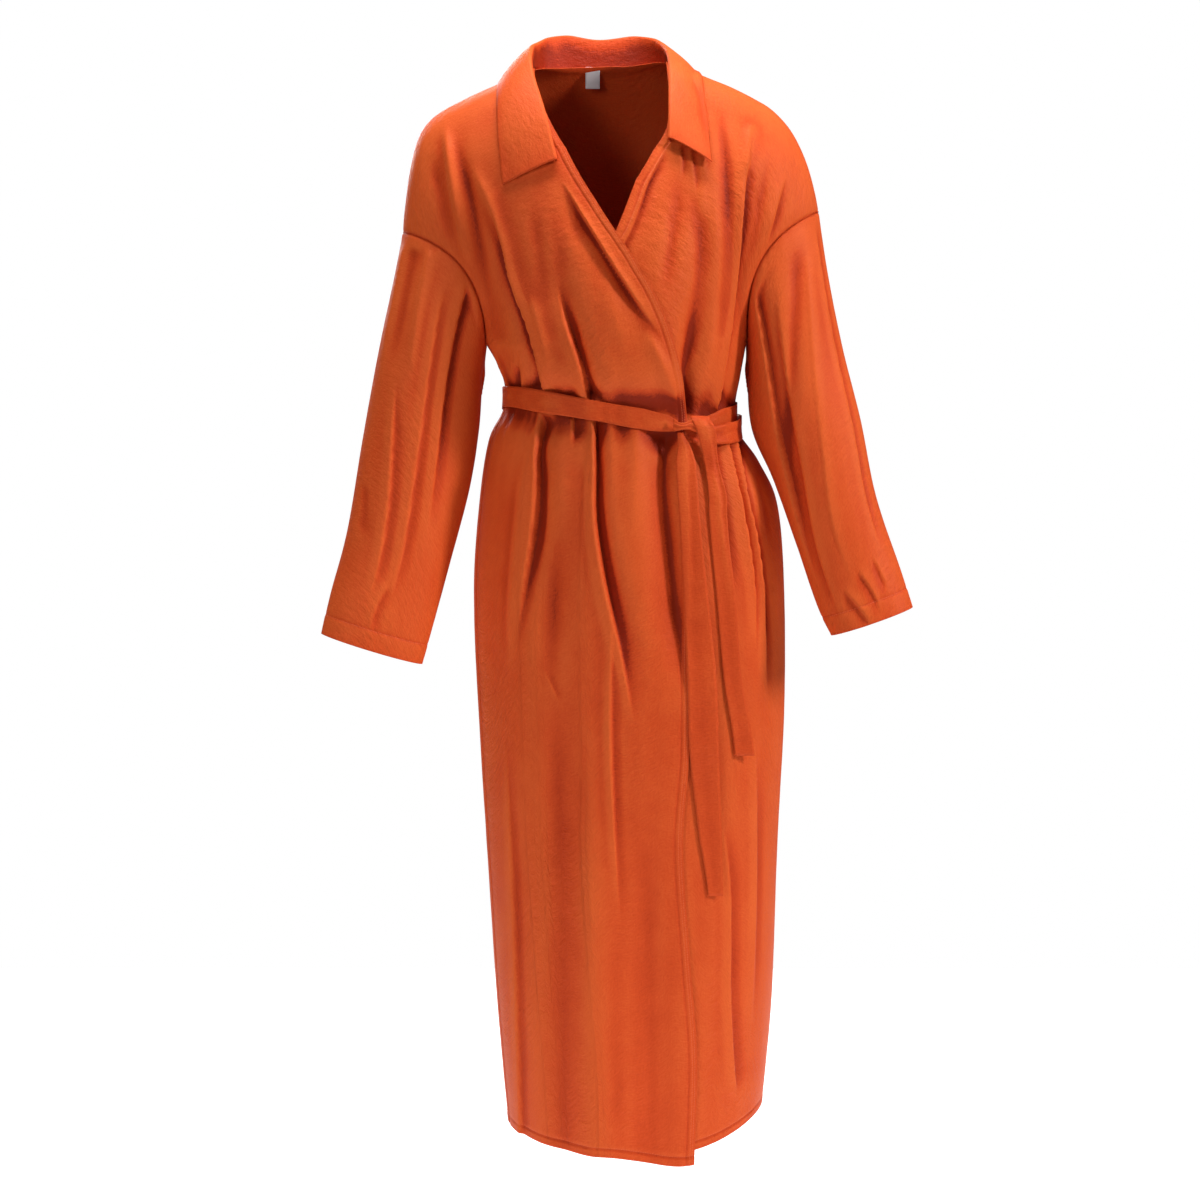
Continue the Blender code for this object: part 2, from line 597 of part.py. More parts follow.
def sleeve_side_normal(side, arm, facing):
    """The sleeve's normal at a point of its armhole."""
    name = "sleeve_left" if side > 0 else "sleeve_right"
    angle = arm * math.pi
    along = sleeve_point(name, SLEEVE_STEP, angle, facing) - sleeve_point(name, 0, angle, facing)
    round_it = sleeve_point(name, 0, angle + SLEEVE_STEP, facing)
    round_it -= sleeve_point(name, 0, angle - SLEEVE_STEP, facing)
    return along.cross(round_it * facing * side).normalized() * -1


def panel_normals(points, thetas, section):
    """Folded normals along one section, shared with the sleeve where it ends on an armhole."""
    normals = [folded_normal(theta, section) for theta in thetas]
    if section <= ARMPIT:
        arm = clamp01(catmull(column(YOKE, "arm"), section))
        for end, inside in ((0, 1), (-1, -2)):
            theta = thetas[end]
            if abs(math.cos(theta)) > 2 * HAIR:
                continue
            side = 1 if math.sin(theta) > 0 else -1
            if section == ARMPIT:
                normals[end] = folded_normal(side * math.pi / 2, ARMPIT + UNDER_ARM)
                continue
            facing = -1 if math.cos(thetas[inside]) > 0 else 1
            other = sleeve_side_normal(side, arm, facing)
            into = points[inside] - points[end]
            normals[end] = joint_normal(normals[inside], other, into)
    return normals


def body_panel(name, thetas_of, lift_of, dip=None, seams=(0,)):
    """A panel of the body: for each section its angles, lifted off the folded surface."""
    rows, normals = [], []
    for section in SECTIONS:
        thetas = thetas_of(section)
        points = [folded_point(theta, section) for theta in thetas]
        row_normals = panel_normals(points, thetas, section)
        lifts = [lift_of(theta, section) for theta in thetas]
        points = [p + n * lift for p, n, lift in zip(points, row_normals, lifts)]
        if dip and section == HEM:
            points = [point - Vector((0, 0, dip(point.x / CM) * CM)) for point in points]
        for seam in seams:
            inside = 1 if seam == 0 else -2
            points[seam] = draw_in([points[seam]], [points[inside]])[0]
        rows.append(points)
        normals.append(row_normals)
    rows[0] = draw_in(rows[0], rows[1])
    return walled_object(name, rows, normals)


def lap_angles(section):
    """Angles of the lap's two sides: the over front's edge and the under front's."""
    return edge_angle(OVER_EDGE, section), edge_angle(UNDER_EDGE, section)


def over_thetas(section):
    over_edge, under_edge = lap_angles(section)
    start = min(under_edge, over_edge - LEAST_LAP)
    outside = even(side_seam(-1, section) + HAIR, start, OVER_SIDE_COLUMNS)
    return outside + even(start, over_edge, LAP_COLUMNS)[1:]


def under_thetas(section):
    over_edge, under_edge = lap_angles(section)
    end = max(over_edge, under_edge + LEAST_LAP)
    lap = even(under_edge, end, LAP_COLUMNS)
    return lap + even(end, side_seam(1, section) - HAIR, UNDER_SIDE_COLUMNS)[1:]


def back_thetas(section):
    right, left = side_seam(1, section), 2 * math.pi + side_seam(-1, section)
    return even(right + HAIR, left - HAIR, BACK_COLUMNS)


def over_lift(theta, section):
    """The over front rises from its side seam to lie on the under front."""
    around = smooth((math.degrees(theta) - LAP_FROM) / LAP_TURN)
    return LAP_LIFT * around * smooth((section - LAP_SECTION) / LAP_SECTIONS)


def no_lift(theta, section):
    return 0.0


def over_dip(x):
    return HEM_DIP * smooth((x - HEM_DIP_FROM) / (HEM_DIP_TO - HEM_DIP_FROM))


def back_panel():
    """The back: shoulder seams and neck at the top, the two side seams, the hem."""
    neck_left, neck_right = edge_angle(OVER_EDGE, 0), edge_angle(UNDER_EDGE, 0)
    rows, normals = [], []
    for section in SECTIONS:
        thetas = back_thetas(section)
        points, row_normals = [], []
        for theta in thetas:
            mirrored = math.pi - theta
            neck = neck_right if mirrored > 0 else neck_left
            inside = clamp01(1 - (mirrored / neck) ** 2)
            start = NECK_BACK_SECTION * inside**NECK_ROUND
            lowered = start + section * (1 - start / ARMPIT) if section < ARMPIT else section
            points.append(folded_point(theta, lowered))
            row_normals.append(folded_normal(theta, lowered))
        ends = panel_normals(points, thetas, section)
        row_normals[0], row_normals[-1] = ends[0], ends[-1]
        points[0], points[-1] = draw_in([points[0], points[-1]], [points[1], points[-2]])
        rows.append(points)
        normals.append(row_normals)
    rows[0] = draw_in(rows[0], rows[1])
    return walled_object("back", rows, normals)


def sleeve(name):
    """A tube from the armhole, whose points are the panels' own, to the open cuff."""
    side = SIDE_OF[name]
    arms = [clamp01(catmull(column(YOKE, "arm"), section)) for section in UPPER_SECTIONS]
    around = [(arm, -1) for arm in arms] + [(arm, 1) for arm in arms[-2:0:-1]]
    rows = []
    for place in even(0, 1, SLEEVE_ROWS):
        rows.append([sleeve_point(name, place, arm * math.pi, facing) for arm, facing in around])
    if side > 0:
        rows = [row[::-1] for row in rows]
    normals = []
    for r, row in enumerate(rows):
        upper, lower = rows[max(r - 1, 0)], rows[min(r + 1, SLEEVE_ROWS)]
        width = len(row)
        row_normals = []
        for i in range(width):
            across = row[(i + 1) % width] - row[i - 1]
            row_normals.append((lower[i] - upper[i]).cross(across).normalized())
        normals.append(row_normals)
    body = around[::-1] if side > 0 else around
    for i, (arm, facing) in enumerate(body):
        normals[0][i] = armhole_wall(side, arm, facing, normals[0][i], rows[1][i] - rows[0][i])
    rows[0] = draw_in(rows[0], rows[1])
    return walled_object(name, rows, normals, closed=True)


def section_of_arm(arm):
    """The section that ends this far round an armhole, by halving."""
    low, high = 0.0, float(ARMPIT)
    for _ in range(HALVINGS):
        middle = (low + high) / 2
        if catmull(column(YOKE, "arm"), middle) < arm:
            low = middle
        else:
            high = middle
    return (low + high) / 2


def armhole_wall(side, arm, facing, own, into_own):
    """The sleeve's wall direction at the armhole, from the panel's normal just inside it."""
    theta = side * (math.pi / 2 - ARM_STEP) if facing < 0 else side * (math.pi / 2 + ARM_STEP)
    other = folded_normal(theta, section_of_arm(arm))
    return joint_normal(own, other, into_own)


# ---------------------------------------------------------------- collar


def settled(values, reach):
    """Never below the values: their running maximum, then its running mean."""
    count = len(values)
    windows = [range(max(i - reach, 0), min(i + reach + 1, count)) for i in range(count)]
    highest = [max(values[j] for j in window) for window in windows]
    return [sum(highest[j] for j in window) / len(window) for window in windows]


def grid_normals(rows):
    """Normals of a sheet from its own points, outwards where rows go down and columns right."""
    normals = []
    for r in range(len(rows)):
        upper, lower = rows[max(r - 1, 0)], rows[min(r + 1, len(rows) - 1)]
        row_normals = []
        for i in range(len(rows[r])):
            left, right = max(i - 1, 0), min(i + 1, len(rows[r]) - 1)
            down = lower[i] - upper[i]
            row_normals.append(down.cross(rows[r][right] - rows[r][left]).normalized())
        normals.append(row_normals)
    return normals


def kept_off(tree, point, least, fit=False):
    """The point, moved out to at least this height over the panels, or to just that height."""
    place, normal, _, _ = tree.find_nearest(point)
    if fit:
        return place + normal * least
    height = (point - place).dot(normal)
    return point + normal * max(0.0, least - height)


def square_to(vector, *directions):
    for direction in directions:
        vector = vector - direction * vector.dot(direction)
    return vector


def collar_profile(sewn, roll, leaf, path, panels):
    """Across the collar: up the stand, round an arc, and straight off it to the leaf's edge."""
    roll = sewn + square_to(roll - sewn, path)
    up = (roll - sewn).normalized()
    side = square_to(leaf - sewn, path, up).normalized()
    centre = roll + (side * ROLL_SET - up) * ROLL_RADIUS
    across, above = (leaf - centre).dot(side), (leaf - centre).dot(up)
    end = math.atan2(above, across) + math.acos(ROLL_RADIUS / math.hypot(across, above))
    arc = []
    for angle in even(math.pi, end, ROLL_STEPS):
        arc.append(centre + (side * math.cos(angle) + up * math.sin(angle)) * ROLL_RADIUS)
    away = (arc[-1] - centre).normalized()
    stand = [sewn, mix(sewn, arc[0], 0.5)] + arc
    points = [kept_off(panels, point * CM, COLLAR_GAP * CM) for point in stand]
    for share in LEAF_SHARES:
        point = mix(arc[-1], leaf, share) + away * LEAF_BULGE * 4 * share * (1 - share)
        least = mix(ROLL_HEIGHT, LEAF_HEIGHT, share) * CM
        points.append(kept_off(panels, point * CM, least))
    return points


def collar():
    """Sewn to the neck edge, up to its roll, over it and down on the panels."""
    panels = surface_tree("front_over", "front_under", "back")
    stations = []
    for place in even(0, len(COLLAR) - 1, COLLAR_COLUMNS):
        stations.append([
            Vector([catmull([getattr(row, field)[k] for row in COLLAR], place) for k in range(3)])
            for field in Station._fields[1:]
        ])
    sewn = [kept_off(panels, station[0] * CM, COLLAR_GAP * CM, fit=True) for station in stations]
    for i in range(len(sewn) - 1):
        middle = mix(sewn[i], sewn[i + 1], 0.5)
        lift = kept_off(panels, middle, COLLAR_GAP * CM) - middle
        sewn[i] += lift
        sewn[i + 1] += lift
    columns = []
    for i, (_, roll, leaf) in enumerate(stations):
        path = sewn[min(i + 1, len(sewn) - 1)] - sewn[max(i - 1, 0)]
        columns.append(collar_profile(sewn[i] / CM, roll, leaf, path.normalized(), panels))
    rows = [list(row) for row in zip(*columns)]
    normals = grid_normals(rows)
    for i, seat in enumerate(sewn):
        panel = panels.find_nearest(seat)[1]
        normals[0][i] = (normals[0][i] - panel * max(0, normals[0][i].dot(panel))).normalized()
    return walled_object("collar", rows, normals)


# ---------------------------------------------------------------- ties and label


def solid_tree(*names):
    """A search tree of whole solids, both skins of their walls."""
    points, faces = [], []
    for name in names:
        mesh = bpy.data.objects[name].data
        start = len(points)
        points += [vertex.co.copy() for vertex in mesh.vertices]
        faces += [tuple(start + v for v in polygon.vertices) for polygon in mesh.polygons]
    return BVHTree.FromPolygons(points, faces)


def outwards(degrees):
    angle = math.radians(degrees)
    return Vector((math.sin(angle), -math.cos(angle), 0))


def waist_radius(tree, degrees, heights):
    """Distance from the waist's axis to the outermost surface at these heights."""
    out = outwards(degrees)
    found = []
    for z in heights:
        axis = Vector((TIE_AXIS_X * CM, 0, z * CM))
        hit = tree.ray_cast(axis + out * FAR_OUT, -out)[0]
        found.append((hit - axis).dot(out))
    return max(found)


def tie(name, under):
    """A band round the waist, over the pieces named in "under"."""
    tree = solid_tree(*under)
    bands = TIES[name]
    count = round((bands[-1].degrees - bands[0].degrees) / TIE_STEP)
    degrees, centres, widths = [], [], []
    for number in range(count + 1):
        turn = mix(bands[0].degrees, bands[-1].degrees, number / count)
        place = next(i for i in range(len(bands) - 1) if turn <= bands[i + 1].degrees + 1e-6)
        place += (turn - bands[place].degrees) / (bands[place + 1].degrees - bands[place].degrees)
        degrees.append(turn)
        centres.append(catmull(column(bands, "z"), place))
        widths.append(catmull(column(bands, "width"), place))
    radii = []
    for turn, centre, width in zip(degrees, centres, widths):
        heights = [centre + width * share for share in BAND_SHARES]
        turns = even(turn - TIE_STEP / 2, turn + TIE_STEP / 2, 4)
        radii.append(max(waist_radius(tree, near, heights) for near in turns))
    radii = [radius + TIE_GAP * CM + TIE_WALL for radius in settled(radii, 1)]
    rows = []
    for share in (0.5, 0, -0.5):
        row = []
        for turn, centre, width, radius in zip(degrees, centres, widths, radii):
            point = Vector((TIE_AXIS_X * CM, 0, (centre + width * share) * CM))
            row.append(point + outwards(turn) * radius)
        rows.append(row)
    return walled_object(name, rows, grid_normals(rows), wall=TIE_WALL)


def knot():
    """The knot of the two ties, a flattened ball slid in until it rests on the fronts."""
    fronts = solid_tree("front_over", "front_under")
    direction = outwards(KNOT_DEGREES)
    turned = Matrix.Rotation(math.radians(KNOT_DEGREES), 4, "Z") @ Matrix.Diagonal((*KNOT_HALF, 1))
    shape = bmesh.new()
    bmesh.ops.create_uvsphere(shape, u_segments=18, v_segments=12, radius=CM, matrix=turned)
    centre = Vector((TIE_AXIS_X, 0, KNOT_Z)) * CM + direction * KNOT_START * CM
    for _ in range(KNOT_SLIDES):
        nearest = min(fronts.find_nearest(centre + vertex.co)[3] for vertex in shape.verts)
        centre -= direction * (nearest - REST_GAP)
    mesh = bpy.data.meshes.new("knot")
    shape.to_mesh(mesh)
    shape.free()
    mesh.transform(Matrix.Translation(centre))
    mesh.materials.append(material("knot", RUST, 0.55))
    mesh.shade_smooth()
    obj = bpy.data.objects.new("knot", mesh)
    PARTS.objects.link(obj)
    return obj


def tail(name, under):
    """The free end of a tie, hanging from the knot over the pieces named in "under"."""
    tree = solid_tree(*under)
    ribbons = TAILS[name]
    count = round((ribbons[0].z - ribbons[-1].z) / TAIL_STEP)
    spans = []
    for number in range(count + 1):
        z = mix(ribbons[0].z, ribbons[-1].z, number / count)
        place = next(i for i in range(len(ribbons) - 1) if z >= ribbons[i + 1].z - 1e-6)
        place += (ribbons[place].z - z) / (ribbons[place].z - ribbons[place + 1].z)
        left, right = (catmull(column(ribbons, side), place) for side in ("left", "right"))
        spans.append((z, left, right))
    fronts = []
    for share in TAIL_COLUMNS:
        depths = []
        for z, left, right in spans:
            found = []
            for near in TAIL_NEAR:
                for rise in even(-TAIL_STEP / 2, TAIL_STEP / 2, 4):
                    x = mix(left, right, share + near)
                    start = Vector((x * CM, -FAR_OUT, (z + rise) * CM))
                    found.append(-tree.ray_cast(start, Vector((0, 1, 0)))[0].y)
            depths.append(max(found))
        fronts.append(settled(depths, 1))
    rows = []
    for number, (z, left, right) in enumerate(spans):
        row = []
        for share, depths in zip(TAIL_COLUMNS, fronts):
            y = TAIL_SEAT[name] - depths[number] - TAIL_LIFT
            row.append(Vector((mix(left, right, share) * CM, y, z * CM)))
        rows.append(row)
    return walled_object(name, rows, grid_normals(rows), wall=TIE_WALL)


def neck_label():
    """A bare label at the centre back, hanging inside from the neck seam."""
    tree = solid_tree("back", "collar")
    rows = []
    for z in even(LABEL_TOP, LABEL_TOP - LABEL_LENGTH, 6):
        row = []
        for share in (-0.5, 0, 0.5):
            x = (LABEL_X + share * LABEL_WIDTH) * CM
            hits = []
            for rise in even(-LABEL_RISE, LABEL_RISE, 16):
                start = Vector((x, 0, (z + rise) * CM))
                hits.append(tree.ray_cast(start, Vector((0, 1, 0)))[0].y)
            row.append(Vector((x, min(hits) - LABEL_LIFT, z * CM)))
        rows.append(row)
    return walled_object("neck_label", rows, grid_normals(rows), wall=TIE_WALL, colour=LABEL_GREY)


# ---------------------------------------------------------------- build

SURFACES = {}
clear_scene()
PARTS = bpy.data.collections.new("wrap_dress")
bpy.context.scene.collection.children.link(PARTS)

body_panel("front_over", over_thetas, over_lift, dip=over_dip)
body_panel("front_under", under_thetas, no_lift, seams=(-1,))
back_panel()
for sleeve_name in SLEEVES:
    sleeve(sleeve_name)
collar()
tie("tie_short", under=["front_over", "front_under", "back"])
tie("tie_long", under=["front_over", "front_under", "back", "tie_short"])
knot()
tail("tail_long", under=["front_over", "front_under", "tie_short", "tie_long", "knot"])
tail("tail_short", under=["front_over", "front_under", "tie_short", "tie_long", "knot", "tail_long"])
neck_label()
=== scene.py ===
# %% [markdown]
# # A wrap dress in cloth
#
# The dress has long sleeves, a pointed collar and two waist ties in a knot. Its frame is already
# there as plain stiff solids, one for each piece that a maker would cut. This notebook lays a thin
# sheet of cloth on the form of each solid, puts the creases in, and then gives the cloth
# its weave, colour and sheen. The frame is loaded first, because everything rests on its sizes.

import math
from collections import namedtuple

import bpy
import numpy as np
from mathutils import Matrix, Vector
from mathutils.bvhtree import BVHTree


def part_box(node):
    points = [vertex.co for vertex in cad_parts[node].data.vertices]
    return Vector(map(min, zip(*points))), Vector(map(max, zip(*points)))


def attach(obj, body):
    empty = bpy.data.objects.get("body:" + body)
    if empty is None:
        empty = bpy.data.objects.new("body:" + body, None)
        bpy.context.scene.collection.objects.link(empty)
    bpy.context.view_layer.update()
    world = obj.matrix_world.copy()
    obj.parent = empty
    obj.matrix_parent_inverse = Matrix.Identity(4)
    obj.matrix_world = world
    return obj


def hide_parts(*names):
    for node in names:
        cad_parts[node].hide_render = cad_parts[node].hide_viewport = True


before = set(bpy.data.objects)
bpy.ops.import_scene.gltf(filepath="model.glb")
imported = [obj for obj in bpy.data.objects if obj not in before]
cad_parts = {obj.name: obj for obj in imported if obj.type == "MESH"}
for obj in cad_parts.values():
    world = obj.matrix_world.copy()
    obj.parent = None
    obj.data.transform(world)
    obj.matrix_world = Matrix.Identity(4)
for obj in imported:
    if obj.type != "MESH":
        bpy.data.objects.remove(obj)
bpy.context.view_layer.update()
CM = 0.01
MM = 0.001
print("frame pieces:", ", ".join(sorted(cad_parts)))

# %% [markdown]
# ## The camera
#
# A dress is photographed whole, from a few metres away and from about the height of the waist.
# A long lens keeps its outline close to its pattern. The camera looks very slightly down, and what
# it sees at the distance of the dress is a square of one and a half metres.

# %% Place the camera
CAMERA_PLACE = Vector((0, -3.2, -0.40))
CAMERA_AIM = Vector((0, 0, -0.6365))
SEEN_WIDTH = 1.4832
SENSOR_WIDTH = 36  # in millimetres, as is the lens


def aimed(name, data, place, aim):
    """Put a camera or a lamp at its place and turn it to what it looks at."""
    obj = bpy.data.objects.new(name, data)
    bpy.context.scene.collection.objects.link(obj)
    obj.location = place
    obj.rotation_euler = (Vector(aim) - Vector(place)).to_track_quat("-Z", "Y").to_euler()
    return obj


camera_data = bpy.data.cameras.new("studio_camera")
camera_data.sensor_width = SENSOR_WIDTH
camera_data.lens = SENSOR_WIDTH * (CAMERA_AIM - CAMERA_PLACE).length / SEEN_WIDTH
bpy.context.scene.camera = aimed("studio_camera", camera_data, CAMERA_PLACE, CAMERA_AIM)
print("lens", round(camera_data.lens, 1), "mm")

# %% [markdown]
# ## Shader arithmetic
#
# A cloth shader is mostly sums: this much slub, that much crinkle, a little painted highlight on a
# crest. Written as node trees, such sums are hard to read. A small class wraps a socket, so that
# the sums can be written as they would be on paper, and adds the nodes by itself.


# %% A socket that can be added and multiplied
class Shade:
    """A socket of a shader tree. Arithmetic on a value adds Math nodes."""

    def __init__(self, tree, socket=None):
        self.tree, self.socket = tree, socket

    def node(self, kind, settings=None, inputs=None, output=0):
        """Any node: its type, its settings, then the values or links of its sockets."""
        made = self.tree.nodes.new(kind)
        for name, value in (settings or {}).items():
            if name == "stops":
                while len(made.color_ramp.elements) < len(value):
                    made.color_ramp.elements.new(0.5)
                for element, (place, colour) in zip(made.color_ramp.elements, value):
                    element.position, element.color = place, colour
            else:
                setattr(made, name, value)
        for name, value in (inputs or {}).items():
            if isinstance(value, Shade):
                self.tree.links.new(value.socket, made.inputs[name])
            else:
                made.inputs[name].default_value = value
        return Shade(self.tree, made.outputs[output])

    def math(self, operation, first, second=0.0):
        return self.node("ShaderNodeMath", {"operation": operation}, {0: first, 1: second})

    def __add__(self, other):
        return self.math("ADD", self, other)

    def __sub__(self, other):
        return self.math("SUBTRACT", self, other)

    def __rsub__(self, other):
        return self.math("SUBTRACT", other, self)

    def __mul__(self, other):
        return self.math("MULTIPLY", self, other)

    __radd__ = __add__
    __rmul__ = __mul__

    def limited(self, low=0.0, high=1.0):
        return self.math("MINIMUM", self.math("MAXIMUM", self, low), high)

    def noise(self, waves, detail=2.0, roughness=0.5):
        """Soft noise at this vector, with so many waves to the metre across and down."""
        stretch = {0: self, 1: (*waves, 1.0)}
        place = self.node("ShaderNodeVectorMath", {"operation": "MULTIPLY"}, stretch)
        inputs = {"Vector": place, "Scale": 1.0, "Detail": detail, "Roughness": roughness}
        return self.node("ShaderNodeTexNoise", {"noise_dimensions": "3D"}, inputs)


def finish_of(name, **sockets):
    """A new material, its Principled shader set, and a Shade to write its sums with."""
    made = bpy.data.materials.new(name)
    made.use_nodes = True
    shader = made.node_tree.nodes["Principled BSDF"]
    for socket, value in sockets.items():
        shader.inputs[socket.replace("_", " ")].default_value = value
    return made, shader, Shade(made.node_tree)


def feed(shader, **links):
    """Link sums to the sockets of a shader."""
    for socket, value in links.items():
        shader.id_data.links.new(value.socket, shader.inputs[socket.replace("_", " ")])


print("shader arithmetic ready")

# %% [markdown]
# ## The cloth
#
# The cloth is a light viscose twill that has been washed so that it crinkles: softly shiny, with
# uneven threads both ways and a fine crazing of tiny creases. Its grain has to run along each
# piece as it was cut, so each sheet carries its own cloth coordinates, in metres, under the name
# "grain". Each sheet also carries how far a point stands out from what is round it, under the name
# "crest", from which the shader paints crests paler and the dips beside them darker: painted
# highlight and painted shade. How deep a point lies in a fold, where little light comes, is carried
# under the name "hollow" and painted as shade. Each sheet also marks its inner face, which is the
# cloth's duller wrong side and is painted darker as well, as shade inside the dress.

# %% Mix the cloth's finish
# The dark end of this ramp is reached mostly through painted shade, the pale end partly through painted
# highlights on crests; threads, crazing and patches move the tone at random as well.
CLOTH_DARK = (0.27, 0.020, 0.005, 1)
CLOTH_DEEP = (0.50, 0.046, 0.009, 1)
CLOTH_MAIN = (0.62, 0.070, 0.014, 1)
CLOTH_PALE = (0.74, 0.124, 0.026, 1)
CLOTH_STOPS = [(0.0, CLOTH_DARK), (0.2, CLOTH_DEEP), (0.5, CLOTH_MAIN), (0.92, CLOTH_PALE)]
# Waves to the metre, across a piece and down it.
UPRIGHT_SLUB, LEVEL_SLUB = (1100, 70), (85, 1200)
CRAZING, CRINKLE = (300, 420), (70, 125)
PATCHES, WEAR = (14, 9), (5.5, 3.6)
LEVEL_SHARE = 0.6  # of the threads' pattern; the upright threads make the rest
WORN_FROM, WORN_GROWS = 0.40, 4.0  # where washing has crinkled the cloth most
# How much each of them changes the tone, which is 0 at the darkest and 1 at the palest.
THREAD_TONE, CRAZING_TONE, PATCH_TONE = 0.6, 0.45, 0.3
# Painted light and shade: a highlight on crests with shade beside them, shade in hollows, and shade with
# the duller wrong side on inner faces.
CREST_SHADING_TONE, HOLLOW_TONE, DULL_AND_SHADE_TONE = 0.26, 0.40, 0.7
# How much each of them raises the cloth, as a share of its relief.
THREAD_RISE, CRAZING_RISE, CRINKLE_RISE, WORN_RISE = 0.35, 0.55, 0.5, 2.0
RELIEF = 1.2 * MM
RELIEF_STRENGTH = 0.75
ROUGHNESS, CRAZING_ROUGH, THREAD_ROUGH = 0.50, 0.22, 0.12

dress_cloth, cloth_shader, cloth = finish_of(
    "rust_crinkled_viscose",
    Specular_IOR_Level=0.08,
    Sheen_Weight=0.01,
    Sheen_Roughness=0.4,
    Sheen_Tint=(1.0, 0.42, 0.22, 1),
)


def carried(label, output="Fac"):
    """What each point of a sheet carries under this name."""
    settings = {"attribute_name": label, "attribute_type": "GEOMETRY"}
    return cloth.node("ShaderNodeAttribute", settings, output=output)


grain = carried("grain", "Vector")
threads = grain.noise(UPRIGHT_SLUB) * (1 - LEVEL_SHARE) + grain.noise(LEVEL_SLUB) * LEVEL_SHARE
crazing = grain.noise(CRAZING, 4.0, 0.62)
tone = 0.5 + (threads - 0.5) * THREAD_TONE + (crazing - 0.5) * CRAZING_TONE
# Painted highlight on crests and painted shade beside them, then painted shade in hollows and on inner
# faces, where the duller wrong side is painted too.
tone = tone + (grain.noise(PATCHES) - 0.5) * PATCH_TONE + carried("crest") * CREST_SHADING_TONE
tone = (tone - carried("wrong_side") * DULL_AND_SHADE_TONE - carried("hollow") * HOLLOW_TONE).limited()
cloth_colour = tone.node("ShaderNodeValToRGB", {"stops": CLOTH_STOPS}, {"Fac": tone})

worn = ((grain.noise(WEAR, 1.0) - WORN_FROM) * WORN_GROWS).limited()
relief = threads * THREAD_RISE + crazing * CRAZING_RISE
relief = relief + grain.noise(CRINKLE, 3.0, 0.6) * (CRINKLE_RISE + worn * WORN_RISE)
bump = {"Strength": RELIEF_STRENGTH, "Distance": RELIEF, "Height": relief}
feed(
    cloth_shader,
    Base_Color=cloth_colour,
    Roughness=ROUGHNESS + (crazing - 0.5) * CRAZING_ROUGH + (threads - 0.5) * THREAD_ROUGH,
    Normal=relief.node("ShaderNodeBump", None, bump),
)
print("cloth finish:", len(dress_cloth.node_tree.nodes), "nodes")

# %% [markdown]
# ## Smooth curves through a few sizes
#
# The dress is described as a dressmaker would measure it: so wide at the bust, so deep at the
# waist, in centimetres, at a few heights. A smooth curve through those sizes gives all that lies
# between them. The curve here is a Catmull-Rom spline, which passes through every size. It works
# on whole arrays, because a sheet of cloth has tens of thousands of points.


# %% Curves through sizes
def smooth(value):
    """From 0 to 1 with soft ends."""
    value = np.clip(value, 0.0, 1.0)
    return value * value * (3 - 2 * value)


def mix(a, b, share):
    """From a to b by a share."""
    return a + (b - a) * share


def through(values, place):
    """A smooth curve through evenly numbered values, at one place or many."""
    values = np.asarray(values, float)
    last = len(values) - 1
    place = np.clip(np.asarray(place, float), 0, last)
    first = np.minimum(place.astype(int), last - 1)
    t = place - first
    if values.ndim > 1:
        t = t[..., None]
    before, a = values[np.maximum(first - 1, 0)], values[first]
    b, after = values[first + 1], values[np.minimum(first + 2, last)]
    square, cube = t * t, t * t * t
    bend = (b - before) / 2 * (cube - 2 * square + t) + (after - a) / 2 * (cube - square)
    return a * (2 * cube - 3 * square + 1) + b * (3 * square - 2 * cube) + bend


def sizes(table, field, place):
    """One column of a table of sizes, as a smooth curve."""
    return through([getattr(row, field) for row in table], place)


def unit(vectors):
    """The same directions, one long."""
    return vectors / np.maximum(np.linalg.norm(vectors, axis=-1, keepdims=True), 1e-12)


def stacked(x, y, z):
    """Points from their three parts, each a grid or one value."""
    return np.stack(np.broadcast_arrays(x, y, z), axis=-1).astype(float)


def travelled(points, axis=0):
    """How far each point is along its line, which runs down the given axis."""
    steps = np.linalg.norm(np.diff(points, axis=axis), axis=-1)
    start = np.zeros_like(steps.take([0], axis))
    return np.concatenate([start, np.cumsum(steps, axis)], axis)


print("half way between 1 and 2:", through([0, 1, 2, 4], 1.5))

# %% [markdown]
# ## The form of the body
#
# From the shoulder seam down to the armpit, a level section of the dress ends on the armhole.
# Below it, a section is a closed ring. The sizes repeat those of the solid frame, so that the
# cloth lies on it. "Left" and "right" are as seen from the front.

# %% The body's sizes
Yoke = namedtuple("Yoke", "name z_front front z_back back arm")
YOKE = [
    Yoke("shoulder seam", 3.5, 0.0, 3.5, 0.0, 0.0),
    Yoke("seam allowance", 3.3, 1.2, 3.4, 1.3, 0.02),
    Yoke("neck", 2.0, 3.8, 2.4, 4.2, 0.08),
    Yoke("collarbone", -1.0, 6.0, 0.0, 6.4, 0.16),
    Yoke("upper chest", -6.0, 8.8, -5.0, 9.0, 0.30),
    Yoke("armhole notch", -12.5, 11.0, -12.0, 10.4, 0.47),
    Yoke("bust", -20.0, 12.6, -19.5, 10.9, 0.66),
    Yoke("under bust", -27.0, 13.0, -26.5, 10.8, 0.85),
    Yoke("armpit", -32.5, 12.8, -32.5, 10.5, 1.0),
]
Ring = namedtuple("Ring", "name z_front z_back z_left z_right left right front back")
